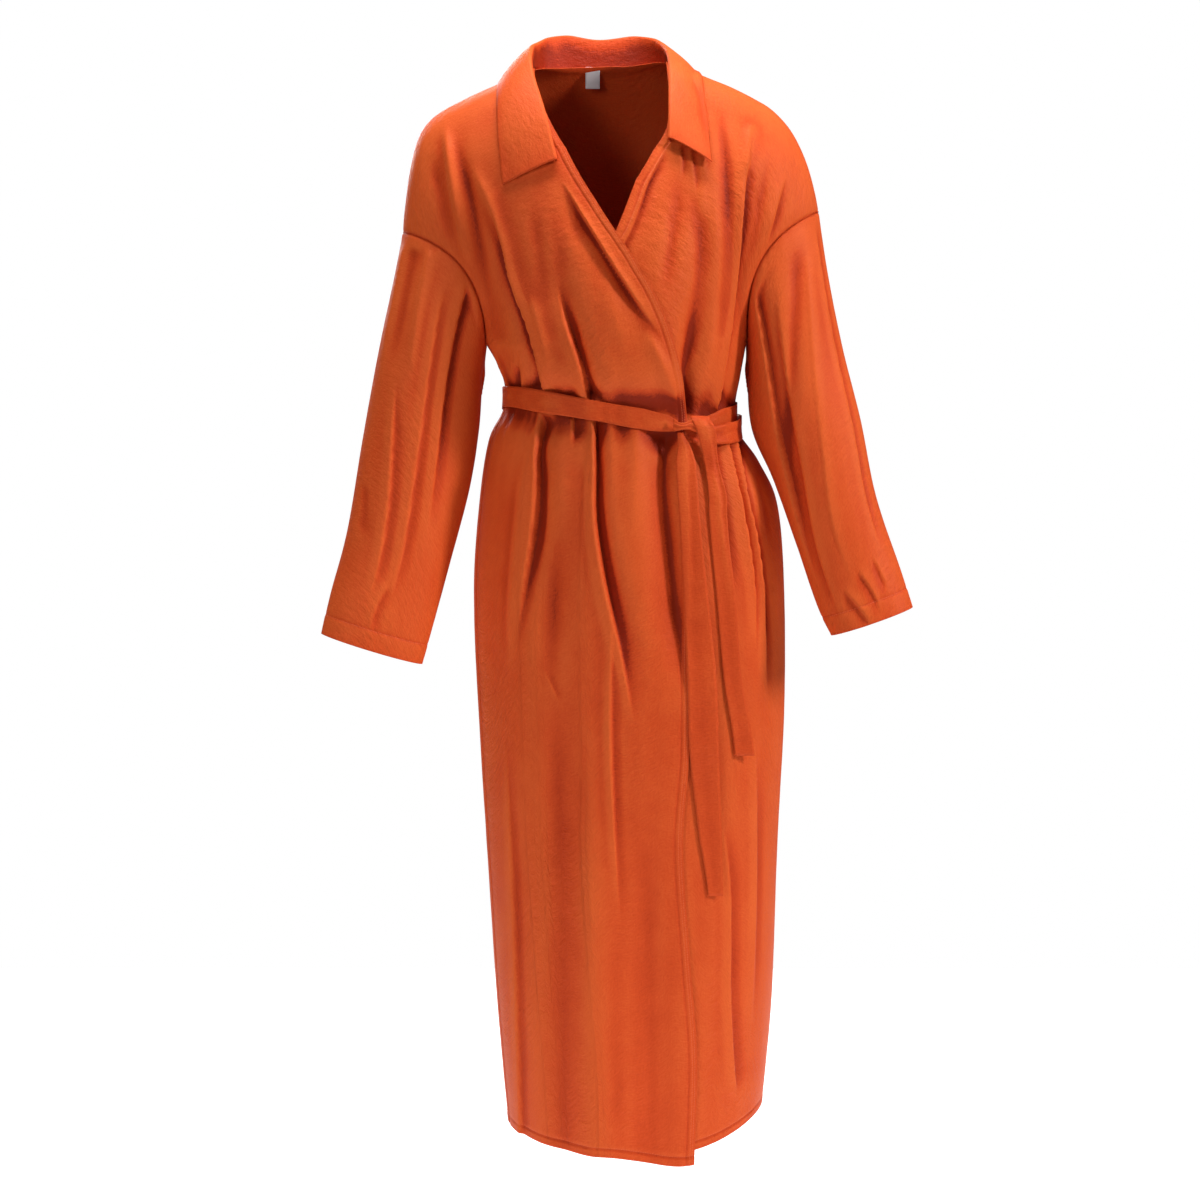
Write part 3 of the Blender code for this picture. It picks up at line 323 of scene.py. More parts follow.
RINGS = [
    Ring("armpit", -32.5, -32.5, -32.3, -31.5, -13.9, 18.0, 12.8, 10.5),
    Ring("blousing", -36.2, -35.4, -34.6, -36.2, -12.6, 17.2, 12.3, 10.3),
    Ring("belt top", -39.3, -38.2, -37.2, -39.8, -11.7, 16.6, 10.7, 9.4),
    Ring("belt bottom", -42.4, -41.3, -40.2, -42.9, -11.9, 17.0, 10.7, 9.5),
    Ring("fall", -45.8, -45.2, -44.0, -46.4, -13.7, 19.5, 11.7, 11.0),
    Ring("high hip", -52.0, -51.6, -51.3, -51.6, -14.8, 21.8, 12.5, 12.3),
    Ring("hip", -62.0, -62.0, -62.0, -62.0, -15.5, 22.7, 12.9, 12.8),
    Ring("thigh", -77.0, -77.0, -77.0, -77.0, -15.1, 22.8, 12.7, 12.5),
    Ring("knee", -95.0, -95.0, -95.0, -95.0, -14.1, 22.0, 12.5, 12.2),
    Ring("calf", -114.0, -113.5, -113.0, -112.5, -12.9, 21.4, 12.5, 12.2),
    Ring("hem", -130.0, -128.5, -128.6, -126.2, -11.5, 20.2, 12.7, 12.4),
]
ARMPIT = len(YOKE) - 1
HEM = ARMPIT + len(RINGS) - 1
SHOULDER_CENTRE_X = 1.3
SHOULDER_SLOPE, SHOULDER_POWER = 9.9, 1.4  # how the shoulder line falls, before it drops at its end
CAP_POWER = {-1: 24, 1: 12}  # how late it drops, at the left and at the right
SIDE_POWER = 2.5  # how late a section leaves the height of its middle
FRONT_POWER = 2.3  # how full a section is towards its sides
OPEN_ARM = 0.35  # how much less full it is beside the armhole
SEAM_TURN = math.radians(12)  # the side seams lie so far behind the sides
print(len(YOKE), "yoke sections,", len(RINGS), "rings")

# %% The sleeves' sizes
Cuff = namedtuple("Cuff", "name out_x out_z in_x in_z y depth bow")
SLEEVES = {
    -1: [
        Cuff("armhole", -24.1, -18.6, -13.9, -32.3, 0.0, 6.4, 3.3),
        Cuff("under arm", -25.4, -25.0, -14.3, -36.6, -0.3, 6.4, 1.4),
        Cuff("upper arm", -27.2, -33.6, -14.8, -42.6, -0.9, 6.1, 0.4),
        Cuff("elbow", -29.0, -43.9, -15.9, -49.6, -2.2, 5.5, 0.0),
        Cuff("forearm", -30.7, -54.7, -18.2, -58.6, -4.4, 4.6, 0.0),
        Cuff("wrist", -32.6, -62.4, -20.2, -66.2, -6.6, 3.7, 0.0),
        Cuff("cuff", -33.6, -67.1, -21.5, -70.8, -7.8, 3.2, 0.0),
    ],
    1: [
        Cuff("armhole", 26.7, -16.1, 18.0, -31.5, 0.0, 6.4, 3.3),
        Cuff("under arm", 27.9, -24.0, 18.0, -36.4, -0.6, 6.4, 1.6),
        Cuff("upper arm", 29.6, -32.6, 18.6, -42.6, -1.6, 6.1, 0.5),
        Cuff("elbow", 31.7, -41.5, 21.2, -49.0, -3.6, 5.3, 0.0),
        Cuff("forearm", 33.4, -50.6, 23.9, -56.9, -5.9, 4.5, 0.0),
        Cuff("wrist", 36.2, -59.4, 26.2, -63.8, -8.0, 3.7, 0.0),
        Cuff("cuff", 37.5, -63.8, 27.8, -67.2, -9.2, 3.2, 0.0),
    ],
}


def sleeve_point(side, place, angle, facing):
    """A sleeve's surface: place 0 at the armhole, 1 at the cuff, angle 0 outside."""
    number = np.asarray(place, float) * (len(SLEEVES[side]) - 1)
    size = {field: sizes(SLEEVES[side], field, number) for field in Cuff._fields[1:]}
    half_x, half_z = (size["in_x"] - size["out_x"]) / 2, (size["in_z"] - size["out_z"]) / 2
    up = unit(stacked(-half_z, 0, half_x))
    up = np.where(up[..., 2:] < 0, -up, up)
    centre_x, centre_z = (size["in_x"] + size["out_x"]) / 2, (size["in_z"] + size["out_z"]) / 2
    centre = stacked(centre_x, size["y"], centre_z)
    sine, cosine = np.sin(angle)[..., None], np.cos(angle)[..., None]
    bowed = up * (size["bow"][..., None] * sine)
    around = stacked(0, facing * size["depth"], 0) + bowed
    return (centre - stacked(half_x, 0, half_z) * cosine + around * sine) * CM


def armhole_point(theta, arm):
    """The armhole on the side where theta is, in centimetres: arm 0 is its top, 1 the armpit."""
    facing = np.where(np.cos(theta) >= 0, -1, 1)
    ends = [sleeve_point(side, np.zeros_like(arm), arm * math.pi, facing) / CM for side in (-1, 1)]
    return np.where(np.sin(theta)[..., None] >= 0, ends[1], ends[0])


print("sleeves:", " and ".join(str(len(rows)) for rows in SLEEVES.values()), "sections")


# %% The body's smooth surface
def either(here, table, one, other, place):
    """A size that has one name here and another elsewhere."""
    return np.where(here, sizes(table, one, place), sizes(table, other, place))


def body_point(theta, section):
    """The body in metres: theta 0 in front, 90 degrees at the right; section 0 at the shoulder."""
    theta, section = np.broadcast_arrays(np.asarray(theta, float), np.asarray(section, float))
    right_side, front = np.sin(theta) >= 0, np.cos(theta) >= 0
    facing = np.where(front, -1, 1)
    reach = np.abs(np.sin(theta))

    upper = np.minimum(section, ARMPIT)
    height = either(front, YOKE, "z_front", "z_back", upper)
    depth = facing * either(front, YOKE, "front", "back", upper)
    arm = np.clip(sizes(YOKE, "arm", upper), 0, 1)
    end = armhole_point(theta, arm)
    down = smooth(upper / ARMPIT)
    middle = mix(SHOULDER_CENTRE_X, (RINGS[0].left + RINGS[0].right) / 2, down)
    top = {s: YOKE[0].z_front - SLEEVES[s][0].out_z for s in (-1, 1)}
    total = np.where(right_side, top[1], top[-1])
    power = np.where(right_side, CAP_POWER[1], CAP_POWER[-1])
    shoulder = SHOULDER_SLOPE * reach**SHOULDER_POWER + (total - SHOULDER_SLOPE) * reach**power
    fall = mix(shoulder / total, reach**SIDE_POWER, down)
    roundness = 0.5 + OPEN_ARM * np.sin(math.pi * arm)

    number = np.maximum(section - ARMPIT, 0)
    left, right = sizes(RINGS, "left", number), sizes(RINGS, "right", number)
    ring_height = either(front, RINGS, "z_front", "z_back", number)
    ring_depth = facing * either(front, RINGS, "front", "back", number)
    side_height = either(right_side, RINGS, "z_right", "z_left", number)

    below = section > ARMPIT
    middle = np.where(below, (left + right) / 2, middle)
    height, depth = np.where(below, ring_height, height), np.where(below, ring_depth, depth)
    end_x = np.where(below, np.where(right_side, right, left), end[..., 0])
    end_y = np.where(below, 0, end[..., 1])
    end_z = np.where(below, side_height, end[..., 2])
    fall = np.where(below, reach**SIDE_POWER, fall)
    roundness = np.where(below, 0.5, roundness)
    round_share = np.maximum(0, 1 - reach**FRONT_POWER) ** roundness
    x, y = mix(middle, end_x, reach), mix(end_y, depth, round_share)
    return stacked(x, y, mix(height, end_z, fall)) * CM


def body_normal(theta, section):
    """Outward normal of the smooth surface, by small steps."""
    turn, step = math.radians(0.5), 0.5
    across = body_point(theta + turn, section) - body_point(theta - turn, section)
    upper, lower = np.maximum(section - step, 0), np.minimum(section + step, HEM)
    return unit(np.cross(body_point(theta, lower) - body_point(theta, upper), across))


print("front middle of the hem, in metres:", body_point(0.0, HEM).round(3))

# %% [markdown]
# ## Creases
#
# A crease is drawn on the cloth as a short path, in centimetres across and up. A fold in real
# cloth is seldom even: one side stands up and rolls over, and the other drops away beside it. So
# each side of the line has its own width and its own height in millimetres, positive outwards. With
# two like heights it is a plain ridge or trough. Creases start sharply at what holds them, such as
# the belt, grow wider as they leave it, and die away where the cloth is free.


# %% Draw creases on a sheet
Crease = namedtuple(
    "Crease", "path left right mm_left mm_right start end spread", defaults=(0.3, 0.3, 0.0)
)
CREASE_REACH = 2.8  # widths to where a crease is nothing
CREASE_BLEND = 0.16  # the step between its two sides takes this far, in centimetres
CREASE_POWER = 1.7
CREASE_DEPTH = 1.35  # all the heights below are drawn a little low
CREASE_POINTS = 18  # a path is cut into straight pieces between so many points


def nearest_on(path, point):
    """Each point's distance from a path, its side of it and its share of the way along."""
    walked, steps = travelled(path), np.diff(path, axis=0)
    lengths = np.linalg.norm(steps, axis=1)
    best, aside, along = np.full(len(point), np.inf), np.zeros(len(point)), np.zeros(len(point))
    for start, step, length, before in zip(path, steps, lengths, walked):
        away = point - start
        share = np.clip(away @ step / length**2, 0, 1)
        gap = np.linalg.norm(away - share[:, None] * step, axis=1)
        turn = step[0] * away[:, 1] - step[1] * away[:, 0]
        closer = gap < best
        best = np.where(closer, gap, best)
        aside = np.where(closer, np.sign(turn), aside)
        along = np.where(closer, (before + share * length) / walked[-1], along)
    return best, aside, along


def crease_height(across, up, crease):
    """How far this crease moves each point of a sheet, in metres."""
    path = through(crease.path, np.linspace(0, len(crease.path) - 1, CREASE_POINTS))
    widest = max(crease.left, crease.right) * CREASE_REACH * (1 + abs(crease.spread) / 2)
    low, high = path.min(0) - widest, path.max(0) + widest
    near = (across > low[0]) & (across < high[0]) & (up > low[1]) & (up < high[1])
    height = np.zeros_like(across)
    if near.any():
        # Going down a path, what is left of it in the picture has a negative side.
        best, aside, along = nearest_on(path, np.stack([across[near], up[near]], axis=-1))
        widening = 1 + crease.spread * (along - 0.5)
        left = crease.mm_left * np.exp(-((best / (crease.left * widening)) ** CREASE_POWER))
        right = crease.mm_right * np.exp(-((best / (crease.right * widening)) ** CREASE_POWER))
        over = smooth(0.5 + 0.5 * best * aside / CREASE_BLEND)
        ends = smooth(along / crease.start) * smooth((1 - along) / crease.end)
        height[near] = mix(left, right, over) * ends * CREASE_DEPTH * MM
    return height


print("a crease reaches", CREASE_REACH, "times its width")

# %% [markdown]
# ## Unevenness
#
# Worn cloth is nowhere quite smooth, also between its folds. Random values on the corners of a
# lattice, with soft steps from one to the next, give that. Three lattices of different spacing are
# added up, so that the eye finds no pattern.

# %% Small wrinkles
SCATTER = 127.1, 311.7, 74.7, 43758.5453  # large uneven numbers, which shuffle the values
# Each lattice's spacing across and up in centimetres, and its height in millimetres.
BROAD, MEDIUM, CROSSING = (4.0, 30, 1.0), (1.7, 17, 0.45), (1.5, 2.6, 0.12)
WANDER = (9, 14, 0.8)  # how their lines wander sideways, all in centimetres


def uneven(across, down, seed):
    """Smooth random values from -1 to 1 on a lattice of unit squares, the same in each run."""
    i, j = np.floor(across), np.floor(down)

    def corner(di, dj):
        value = np.sin((i + di) * SCATTER[0] + (j + dj) * SCATTER[1] + seed * SCATTER[2]) * SCATTER[3]
        return (value - np.floor(value)) * 2 - 1

    u, v = smooth(across - i), smooth(down - j)
    return mix(mix(corner(0, 0), corner(1, 0), u), mix(corner(0, 1), corner(1, 1), u), v)


def waves(across, up, size, seed):
    """Uneven heights, whose size gives a wave's width, its length and its height."""
    return uneven(across / size[0], up / size[1], seed) * size[2]


def wrinkles(across, up, seed=0.0):
    """Small soft unevenness all over, in metres: across and up are in centimetres."""
    lean = across + waves(across, up, WANDER, seed + 5)
    broad, medium = waves(lean, up, BROAD, seed), waves(lean, up, MEDIUM, seed + 1)
    crossing = waves(lean + up * 0.5, up - lean * 0.5, CROSSING, seed + 2)
    return (broad + medium + crossing) * MM


print("wrinkles up to", sum(size[2] for size in (BROAD, MEDIUM, CROSSING)), "mm")

# %% [markdown]
# ## A sheet of cloth
#
# Each sheet is made as rows and columns of points, which is how a weaver would see it too. Its
# own cloth coordinates come from measuring along the rows and columns. A Solidify modifier gives
# it its thickness, inwards, so that the points stay on the outside.


# %% Turn rows and columns into a mesh
def squares(rows, columns, closed):
    """Corner numbers of the squares between rows and columns of points."""
    index = np.arange(rows * columns).reshape(rows, columns)
    right = np.roll(index, -1, axis=1) if closed else index[:, 1:]
    left = index if closed else index[:, :-1]
    return np.stack([left[:-1], left[1:], right[1:], right[:-1]], axis=-1).reshape(-1, 4)


def piece_of(name, points, faces, finish):
    """A smooth mesh in the scene, of one finish."""
    mesh = bpy.data.meshes.new(name)
    mesh.from_pydata(np.reshape(points, (-1, 3)).tolist(), [], np.reshape(faces, (-1, 4)).tolist())
    mesh.shade_smooth()
    mesh.materials.append(finish)
    obj = bpy.data.objects.new(name, mesh)
    bpy.context.scene.collection.objects.link(obj)
    return obj


def carry(mesh, label, values, kind="FLOAT", field="value"):
    """Let each point of a mesh carry a value under this name."""
    made = mesh.attributes.new(label, kind, "POINT")
    made.data.foreach_set(field, np.asarray(values, np.float32).reshape(-1))


print("two rows of three points have", len(squares(2, 3, False)), "squares")


# %% Measure a sheet
def standing_out(points, normals, closed, reach):
    """How far each point stands out from its neighbourhood, in metres."""
    middle = points.copy()
    for axis, wrap in ((0, False), (1, closed)):
        total = np.zeros_like(middle)
        for shift in range(-reach, reach + 1):
            index = np.arange(middle.shape[axis]) + shift
            size = middle.shape[axis]
            index = index % size if wrap else np.clip(index, 0, size - 1)
            total += np.take(middle, index, axis=axis)
        middle = total / (2 * reach + 1)
    inside = ((points - middle) * normals).sum(-1)
    rows, columns = (np.arange(size) for size in points.shape[:2])
    calm = smooth(np.minimum(rows, rows[::-1])[:, None] / reach)
    if not closed:
        calm = calm * smooth(np.minimum(columns, columns[::-1]) / reach)
    return inside * calm


def grid_normals(points, closed=False):
    """Normals from the points themselves: rows go down and columns to the right."""
    down = np.gradient(points, axis=0)
    if closed:
        across = np.roll(points, -1, axis=1) - np.roll(points, 1, axis=1)
    else:
        across = np.gradient(points, axis=1)
    return unit(np.cross(down, across))


GRAIN_SPACING = 3.0  # metres between one sheet's cloth coordinates and the next one's


def cloth_coordinates(points, number):
    """Metres across and down each sheet, so that threads keep their real size."""
    across, down = travelled(points, 1), travelled(points)
    across = across - across[:, [points.shape[1] // 2]]
    return stacked(across + number * GRAIN_SPACING, down, 0)


print("cloth coordinates start", GRAIN_SPACING, "metres apart")

# %% Lay a sheet of cloth
CLOTH = 0.7 * MM
# A point is compared with those so many rows and columns away, and its difference measured.
CREST_REACH, FULL_CREST = 6, 0.7 * MM
HOLLOW_REACH, HOLLOW_FROM, HOLLOW_OVER = 9, 0.6 * MM, 3.6 * MM
INSIDE_DULL_AND_SHADE = 0.3  # how much darker a sheet's inner face is: partly the cloth's duller wrong side, partly painted shade inside the dress
SHEETS = {}  # the points of each sheet, and whether it closes round into a tube


def thicken(obj, thickness, painted_shade):
    """Give a sheet its thickness. The points of its wrong side come last, and are duller: partly the
    cloth's wrong side, partly painted shade.
    """
    solid = obj.modifiers.new("thickness", "SOLIDIFY")
    solid.thickness, solid.offset = thickness, -1
    thick = bpy.data.meshes.new_from_object(obj.evaluated_get(bpy.context.evaluated_depsgraph_get()))
    obj.modifiers.clear()
    thin, obj.data = obj.data, thick
    bpy.data.meshes.remove(thin)
    thick.name = obj.name
    # The inner points are the cloth's duller wrong side and painted shade; the outer ones carry any
    # painted shade given for them.
    dull_and_shade = np.full(len(thick.vertices), INSIDE_DULL_AND_SHADE, np.float32)
    dull_and_shade[: painted_shade.size] = painted_shade.reshape(-1)
    carry(thick, "wrong_side", dull_and_shade)


def sheet(node, points, closed=False, thickness=CLOTH, painted_shade=0.0, stuff="cloth",
          finish=dress_cloth):
    """A piece of cloth through rows and columns of points in metres, in place of a solid, with any
    painted shade given for its outer points.
    """
    name = f"{node}_{stuff}"
    rows, columns = points.shape[:2]
    obj = piece_of(name, points, squares(rows, columns, closed), finish)
    coordinates = cloth_coordinates(points, len(SHEETS))
    normals = grid_normals(points, closed)
    # From these the shader paints a highlight on crests and shade in hollows.
    crest = np.tanh(standing_out(points, normals, closed, CREST_REACH) / FULL_CREST)
    hollow = -standing_out(points, normals, closed, HOLLOW_REACH) - HOLLOW_FROM
    carry(obj.data, "grain", coordinates, "FLOAT_VECTOR", "vector")
    carry(obj.data, "crest", crest)
    carry(obj.data, "hollow", smooth(hollow / HOLLOW_OVER))
    area = sum(polygon.area for polygon in obj.data.polygons)
    thicken(obj, thickness, np.broadcast_to(painted_shade, (rows, columns)))
    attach(obj, "root")
    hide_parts(node)
    SHEETS[node] = points, closed
    print(f"{name}: {rows} x {columns} points, {area:.3f} square metres")
    return obj


print("a sheet is", round(CLOTH / MM, 1), "mm thick")

# %% [markdown]
# ## Where the fronts end
#
# Each front is cut along a wrap edge, from the neck across the body and down to the hem. The
# edges are drawn as seen from the front, so the angle at which a section meets its edge is found
# by halving.

# %% The wrap edges
Edge = namedtuple("Edge", "z x")
OVER_EDGE = [
    Edge(1.4, -7.9), Edge(-1, -7.7), Edge(-4.7, -6.5), Edge(-9.4, -4), Edge(-16.1, -0.2),
    Edge(-23.8, 4.7), Edge(-29.6, 7.7), Edge(-35.5, 9.5), Edge(-40.8, 10.2), Edge(-55, 10.6),
    Edge(-81, 10.6), Edge(-92.2, 9.9), Edge(-105.5, 10.7), Edge(-118.4, 11.6), Edge(-132, 11.2),
]
UNDER_EDGE = [
    Edge(2, 8), Edge(-3, 8.2), Edge(-6.9, 7.9), Edge(-9.6, 6.3), Edge(-13.2, 4.2), Edge(-19.1, 1.9),
    Edge(-23.8, -1), Edge(-29.6, -4), Edge(-35.5, -5.6), Edge(-44, -6.2), Edge(-130, -6),
]
HALVINGS = 34


def edge_x(edge, z):
    """Where a wrap edge is at each height."""
    heights = np.array([point.z for point in edge])
    place = np.interp(-z, -heights, np.arange(len(edge)))
    return through([point.x for point in edge], place)


def edge_angle(edge, section):
    """The angle at which each section meets a wrap edge."""
    low, high = (np.full(len(section), math.radians(limit)) for limit in (-80, 80))
    for _ in range(HALVINGS):
        middle = (low + high) / 2
        point = body_point(middle, section) / CM
        outside = point[:, 0] < edge_x(edge, point[:, 2])
        low, high = np.where(outside, middle, low), np.where(outside, high, middle)
    return (low + high) / 2


def side_seam(side, section):
    """Angle of a panel's outer edge: the armhole above, the turned side seam below."""
    return side * math.pi / 2 + SEAM_TURN * smooth((section - ARMPIT) / 4)


print("half way down, the over edge is at", edge_x(OVER_EDGE, np.array([-66.0])).round(1), "cm")


# %% Rows of the body's sheets
ROW_SPACING = 4.7 * MM
HEM_ROWS = 8  # close rows for the stitched hem
HEM_DEPTH = 12 * MM


def body_sections():
    """Section numbers for rows of cloth an even way apart, closer at the hem."""
    fine = np.linspace(0, HEM, 1200)
    centre = body_point(np.zeros_like(fine), fine)
    walked = travelled(centre)
    hem_top = walked[-1] - HEM_DEPTH
    places = np.linspace(0, hem_top, int(hem_top / ROW_SPACING))
    places = np.concatenate([places, np.linspace(hem_top, walked[-1], HEM_ROWS)[1:]])
    return np.interp(places, walked, fine), places


SECTIONS, WALKED = body_sections()
print(len(SECTIONS), "rows on the body")

# %% [markdown]
# ## The creases of the body
#
# These are drawn on the dress, in centimetres from the frame's origin: across, then up.
# Above the belt the cloth hangs from the shoulders and the belt gathers it in, so troughs run
# down into the belt and end there. Below it they start sharply and die away downwards. Some are
# in one front only, where it folds by itself beside the wrap edge.

# %% Creases from the right shoulder down the chest
RIGHT_CHEST = [
    Crease([(-19.2, -5.6), (-18.5, -7), (-17.6, -13), (-16.4, -19.9), (-15.6, -26.1)],
           0.6, 0.8, 4, 4, 0.2, 0.3),
    Crease([(-20.4, -9), (-19, -16), (-17.6, -22.5)], 0.9, 0.9, -3, -3, 0.3, 0.4),
    Crease([(-17.4, -7), (-15.6, -15), (-14.2, -23), (-12.6, -30)], 0.8, 0.9, -3.6, -3.6, 0.3, 0.4),
    Crease([(-15.4, -10.7), (-13.3, -15.2), (-11.5, -20.7), (-10.4, -24.8), (-8.3, -31)],
           0.7, 0.9, 3.2, 3.2, 0.2, 0.3),
    Crease([(-13.3, -15.2), (-11.6, -20.7), (-10.5, -24.8), (-8.4, -30.8), (-6.5, -38.2)],
           1.25, 1.6, -12, 3.5, 0.55, 0.03, -0.3),
    Crease([(-8.1, -26), (-6.8, -31), (-5.4, -37)], 0.5, 0.7, 2.2, 2, 0.3, 0.2),
    Crease([(-5, -25), (-4.2, -29), (-2.6, -34), (-1.2, -39.2)], 1.3, 1.4, 2.5, -10.5, 0.6, 0.03, -0.4),
    Crease([(-9.7, -34.6), (-9.4, -38.2)], 0.6, 0.5, -5, 1.5, 0.4, 0.05),
    Crease([(-17.2, -24), (-15.2, -28.6), (-12.9, -33.5), (-10.8, -38.4)],
           0.9, 1.1, -4.5, 3.5, 0.35, 0.08),
    Crease([(-12.6, -33), (-11.6, -36), (-10.6, -38.4)], 0.6, 0.6, 2.5, -3, 0.4, 0.05),
    Crease([(-5.6, -15), (-4.8, -24), (-3.6, -33)], 1.5, 1.5, -2, -2, 0.5, 0.4),
    Crease([(-8.2, -14.5), (-7.2, -21), (-6, -29.5)], 0.9, 0.9, -1.3, -1.3, 0.4, 0.4),
    Crease([(0, -22), (1.6, -28), (3.6, -36)], 1.3, 1.5, 1.8, 1.8, 0.4, 0.4),
    Crease([(-3.4, -37), (-3.2, -41.5)], 0.5, 0.6, -2, -2, 0.4, 0.1),
]
print(len(RIGHT_CHEST), "creases on the right of the chest")

# %% Creases from the left shoulder down the chest
LEFT_CHEST = [
    Crease([(18.2, -5.9), (17.6, -11.6), (17, -18), (16.4, -24.4), (15.4, -32), (14, -40.4)],
           1.2, 1.2, 4, -6.5, 0.45, 0.04),
    Crease([(18.3, -5.4), (17.8, -9), (17.4, -13)], 0.8, 0.8, 2.5, 2.5, 0.3, 0.3),
    Crease([(22.5, -11.6), (20.6, -18.7), (19.1, -24.4), (18, -32), (16.4, -39.4)],
           1, 0.9, 3.5, -6, 0.3, 0.05),
    Crease([(14.4, -3), (15, -10), (15.6, -18), (15.2, -26)], 0.9, 0.7, -3.2, -3.2, 0.3, 0.5),
    Crease([(20.4, -8.5), (19.2, -16), (17.9, -25), (16.6, -34)], 0.9, 0.8, -3.2, -3.2, 0.3, 0.4),
    Crease([(13.2, -12.6), (13.8, -21), (13.4, -30), (12.4, -38)], 0.8, 0.9, 2.4, 2.4, 0.3, 0.3),
    Crease([(11.6, -13), (12, -22), (11.2, -31)], 0.9, 0.9, -2.4, -2.4, 0.4, 0.4),
]
print(len(LEFT_CHEST), "creases on the left of the chest")

# %% Creases below the belt
BELOW_BELT = [
    Crease([(-6.9, -40.8), (-7.5, -45.3), (-7.5, -49), (-7.9, -54), (-9, -61.5), (-9.8, -69)],
           0.9, 1.9, 1.5, -11, 0.02, 0.6, 1.1),
    Crease([(-4.8, -50), (-5.5, -62), (-6.2, -76)], 1.6, 1.8, -5, -5, 0.5, 0.5),
    Crease([(-6.6, -71), (-4.8, -75)], 0.4, 0.5, 0.4, -0.7),
    Crease([(-0.7, -41), (-0.5, -46.6), (-0.5, -53), (0.7, -61), (2.6, -69.2), (4.2, -78)],
           1.5, 1.6, 3, -10, 0.02, 0.5, 1.1),
    Crease([(-8.6, -45), (-9.6, -53.4), (-10.4, -63), (-10.7, -73)], 0.6, 0.8, 2.8, 2.8, 0.2, 0.4),
    Crease([(-3.1, -41), (-3.2, -44.6)], 0.5, 0.7, 1, -3.5, 0.05, 0.6, 0.8),
    Crease([(4.2, -42), (4.2, -49), (3.8, -58)], 1.2, 1.5, 2.2, 2.2, 0.05, 0.6),
    Crease([(13.4, -43.5), (14.4, -52), (16, -63)], 0.8, 0.9, 2.5, -5, 0.02, 0.5, 0.6),
    Crease([(15.3, -43.4), (16.6, -49), (17.8, -55), (18.8, -62), (19, -70)],
           0.8, 0.8, 3, -7, 0.02, 0.5, 0.6),
    Crease([(16.6, -43.2), (17.9, -50), (19.3, -56.3), (20.1, -63), (20.4, -76)],
           0.8, 1, 3, -9, 0.02, 0.5, 0.6),
    Crease([(18.4, -44), (20.6, -52), (21.4, -61)], 1, 1.2, -6, -6, 0.05, 0.5),
]
print(len(BELOW_BELT), "creases below the belt")

# %% Creases down the skirt
SKIRT_FALL = [
    Crease([(-6.6, -66), (-5.4, -76), (-4.6, -96), (-4.2, -131)], 2.6, 3.2, -4.5, -4.5, 0.4, 0.01),
    Crease([(-1.4, -72), (-1, -96), (-0.6, -131)], 2.6, 3, 6, 6, 0.5, 0.01),
    Crease([(5.2, -84), (6, -106), (6.4, -131)], 2.6, 2.4, -4, -4, 0.5, 0.01),
    Crease([(14.6, -88), (15.8, -98), (16, -112), (16.8, -124)], 0.9, 1.8, 1.2, -2, 0.3, 0.1),
    Crease([(-11.4, -78), (-10.4, -100), (-9.6, -130)], 1.6, 2, 1.5, -1.6, 0.4, 0.01),
    Crease([(1.6, -62), (1.4, -80), (2.6, -104)], 0.8, 1.1, 1.8, -1.6, 0.4, 0.5),
    Crease([(18.8, -78), (19.2, -96), (18.6, -118)], 1, 1.2, 1.2, -1.4, 0.4, 0.4),
]
FRONT_CREASES = RIGHT_CHEST + LEFT_CHEST + BELOW_BELT + SKIRT_FALL
print(len(FRONT_CREASES), "creases on both fronts")

# %% Creases on one front only
OVER_CREASES = [
    Crease([(-4.6, -13.2), (-2.2, -17.3), (-0.6, -19.9), (1.3, -23),
            (3.3, -26.1), (5.2, -29), (7.4, -32)],
           2, 0.7, -6.5, 2.2, 0.30, 0.40, 0.5),
    Crease([(5, -30), (7.4, -35), (9.4, -39.6)], 0.9, 0.7, 3, 3, 0.4, 0.2),
    Crease([(8.2, -42.4), (7.9, -49.5), (8.6, -57.2), (9.5, -66.3), (10, -76)],
           2.6, 1.1, -13, -13, 0.02, 0.4, 0.3),
]
UNDER_CREASES = [
    Crease([(11.9, -24), (11.5, -29.4), (10.8, -35), (10.2, -40.8)], 1.5, 1.2, -11, -11, 0.6, 0.01, -0.7),
    Crease([(9.8, -11.6), (8.8, -19), (7.4, -27.4)], 1, 1, -2, -2, 0.4, 0.4),
    Crease([(8.2, -8.8), (5.9, -13.2), (3.6, -19.1), (1, -23.8)], 0.25, 1.2, 0.8, -3, 0.25, 0.1),
    Crease([(9.5, -8.6), (9.8, -10.6), (9.7, -13.4)], 0.35, 0.5, 0.8, -2.4, 0.1, 0.7),
    Crease([(10.8, -9), (11.2, -11.8), (11.6, -15.8)], 0.3, 0.45, 0.8, -2.2, 0.1, 0.7),
    Crease([(12.4, -9.8), (12.8, -11.2), (13, -12.8)], 0.3, 0.35, 0.5, -1.2, 0.1, 0.6),
    Crease([(11.8, -13), (12.1, -16), (12, -19)], 0.6, 0.7, 1.4, 1.4, 0.3, 0.5),
]
print(len(OVER_CREASES), "on the over front,", len(UNDER_CREASES), "on the under front")

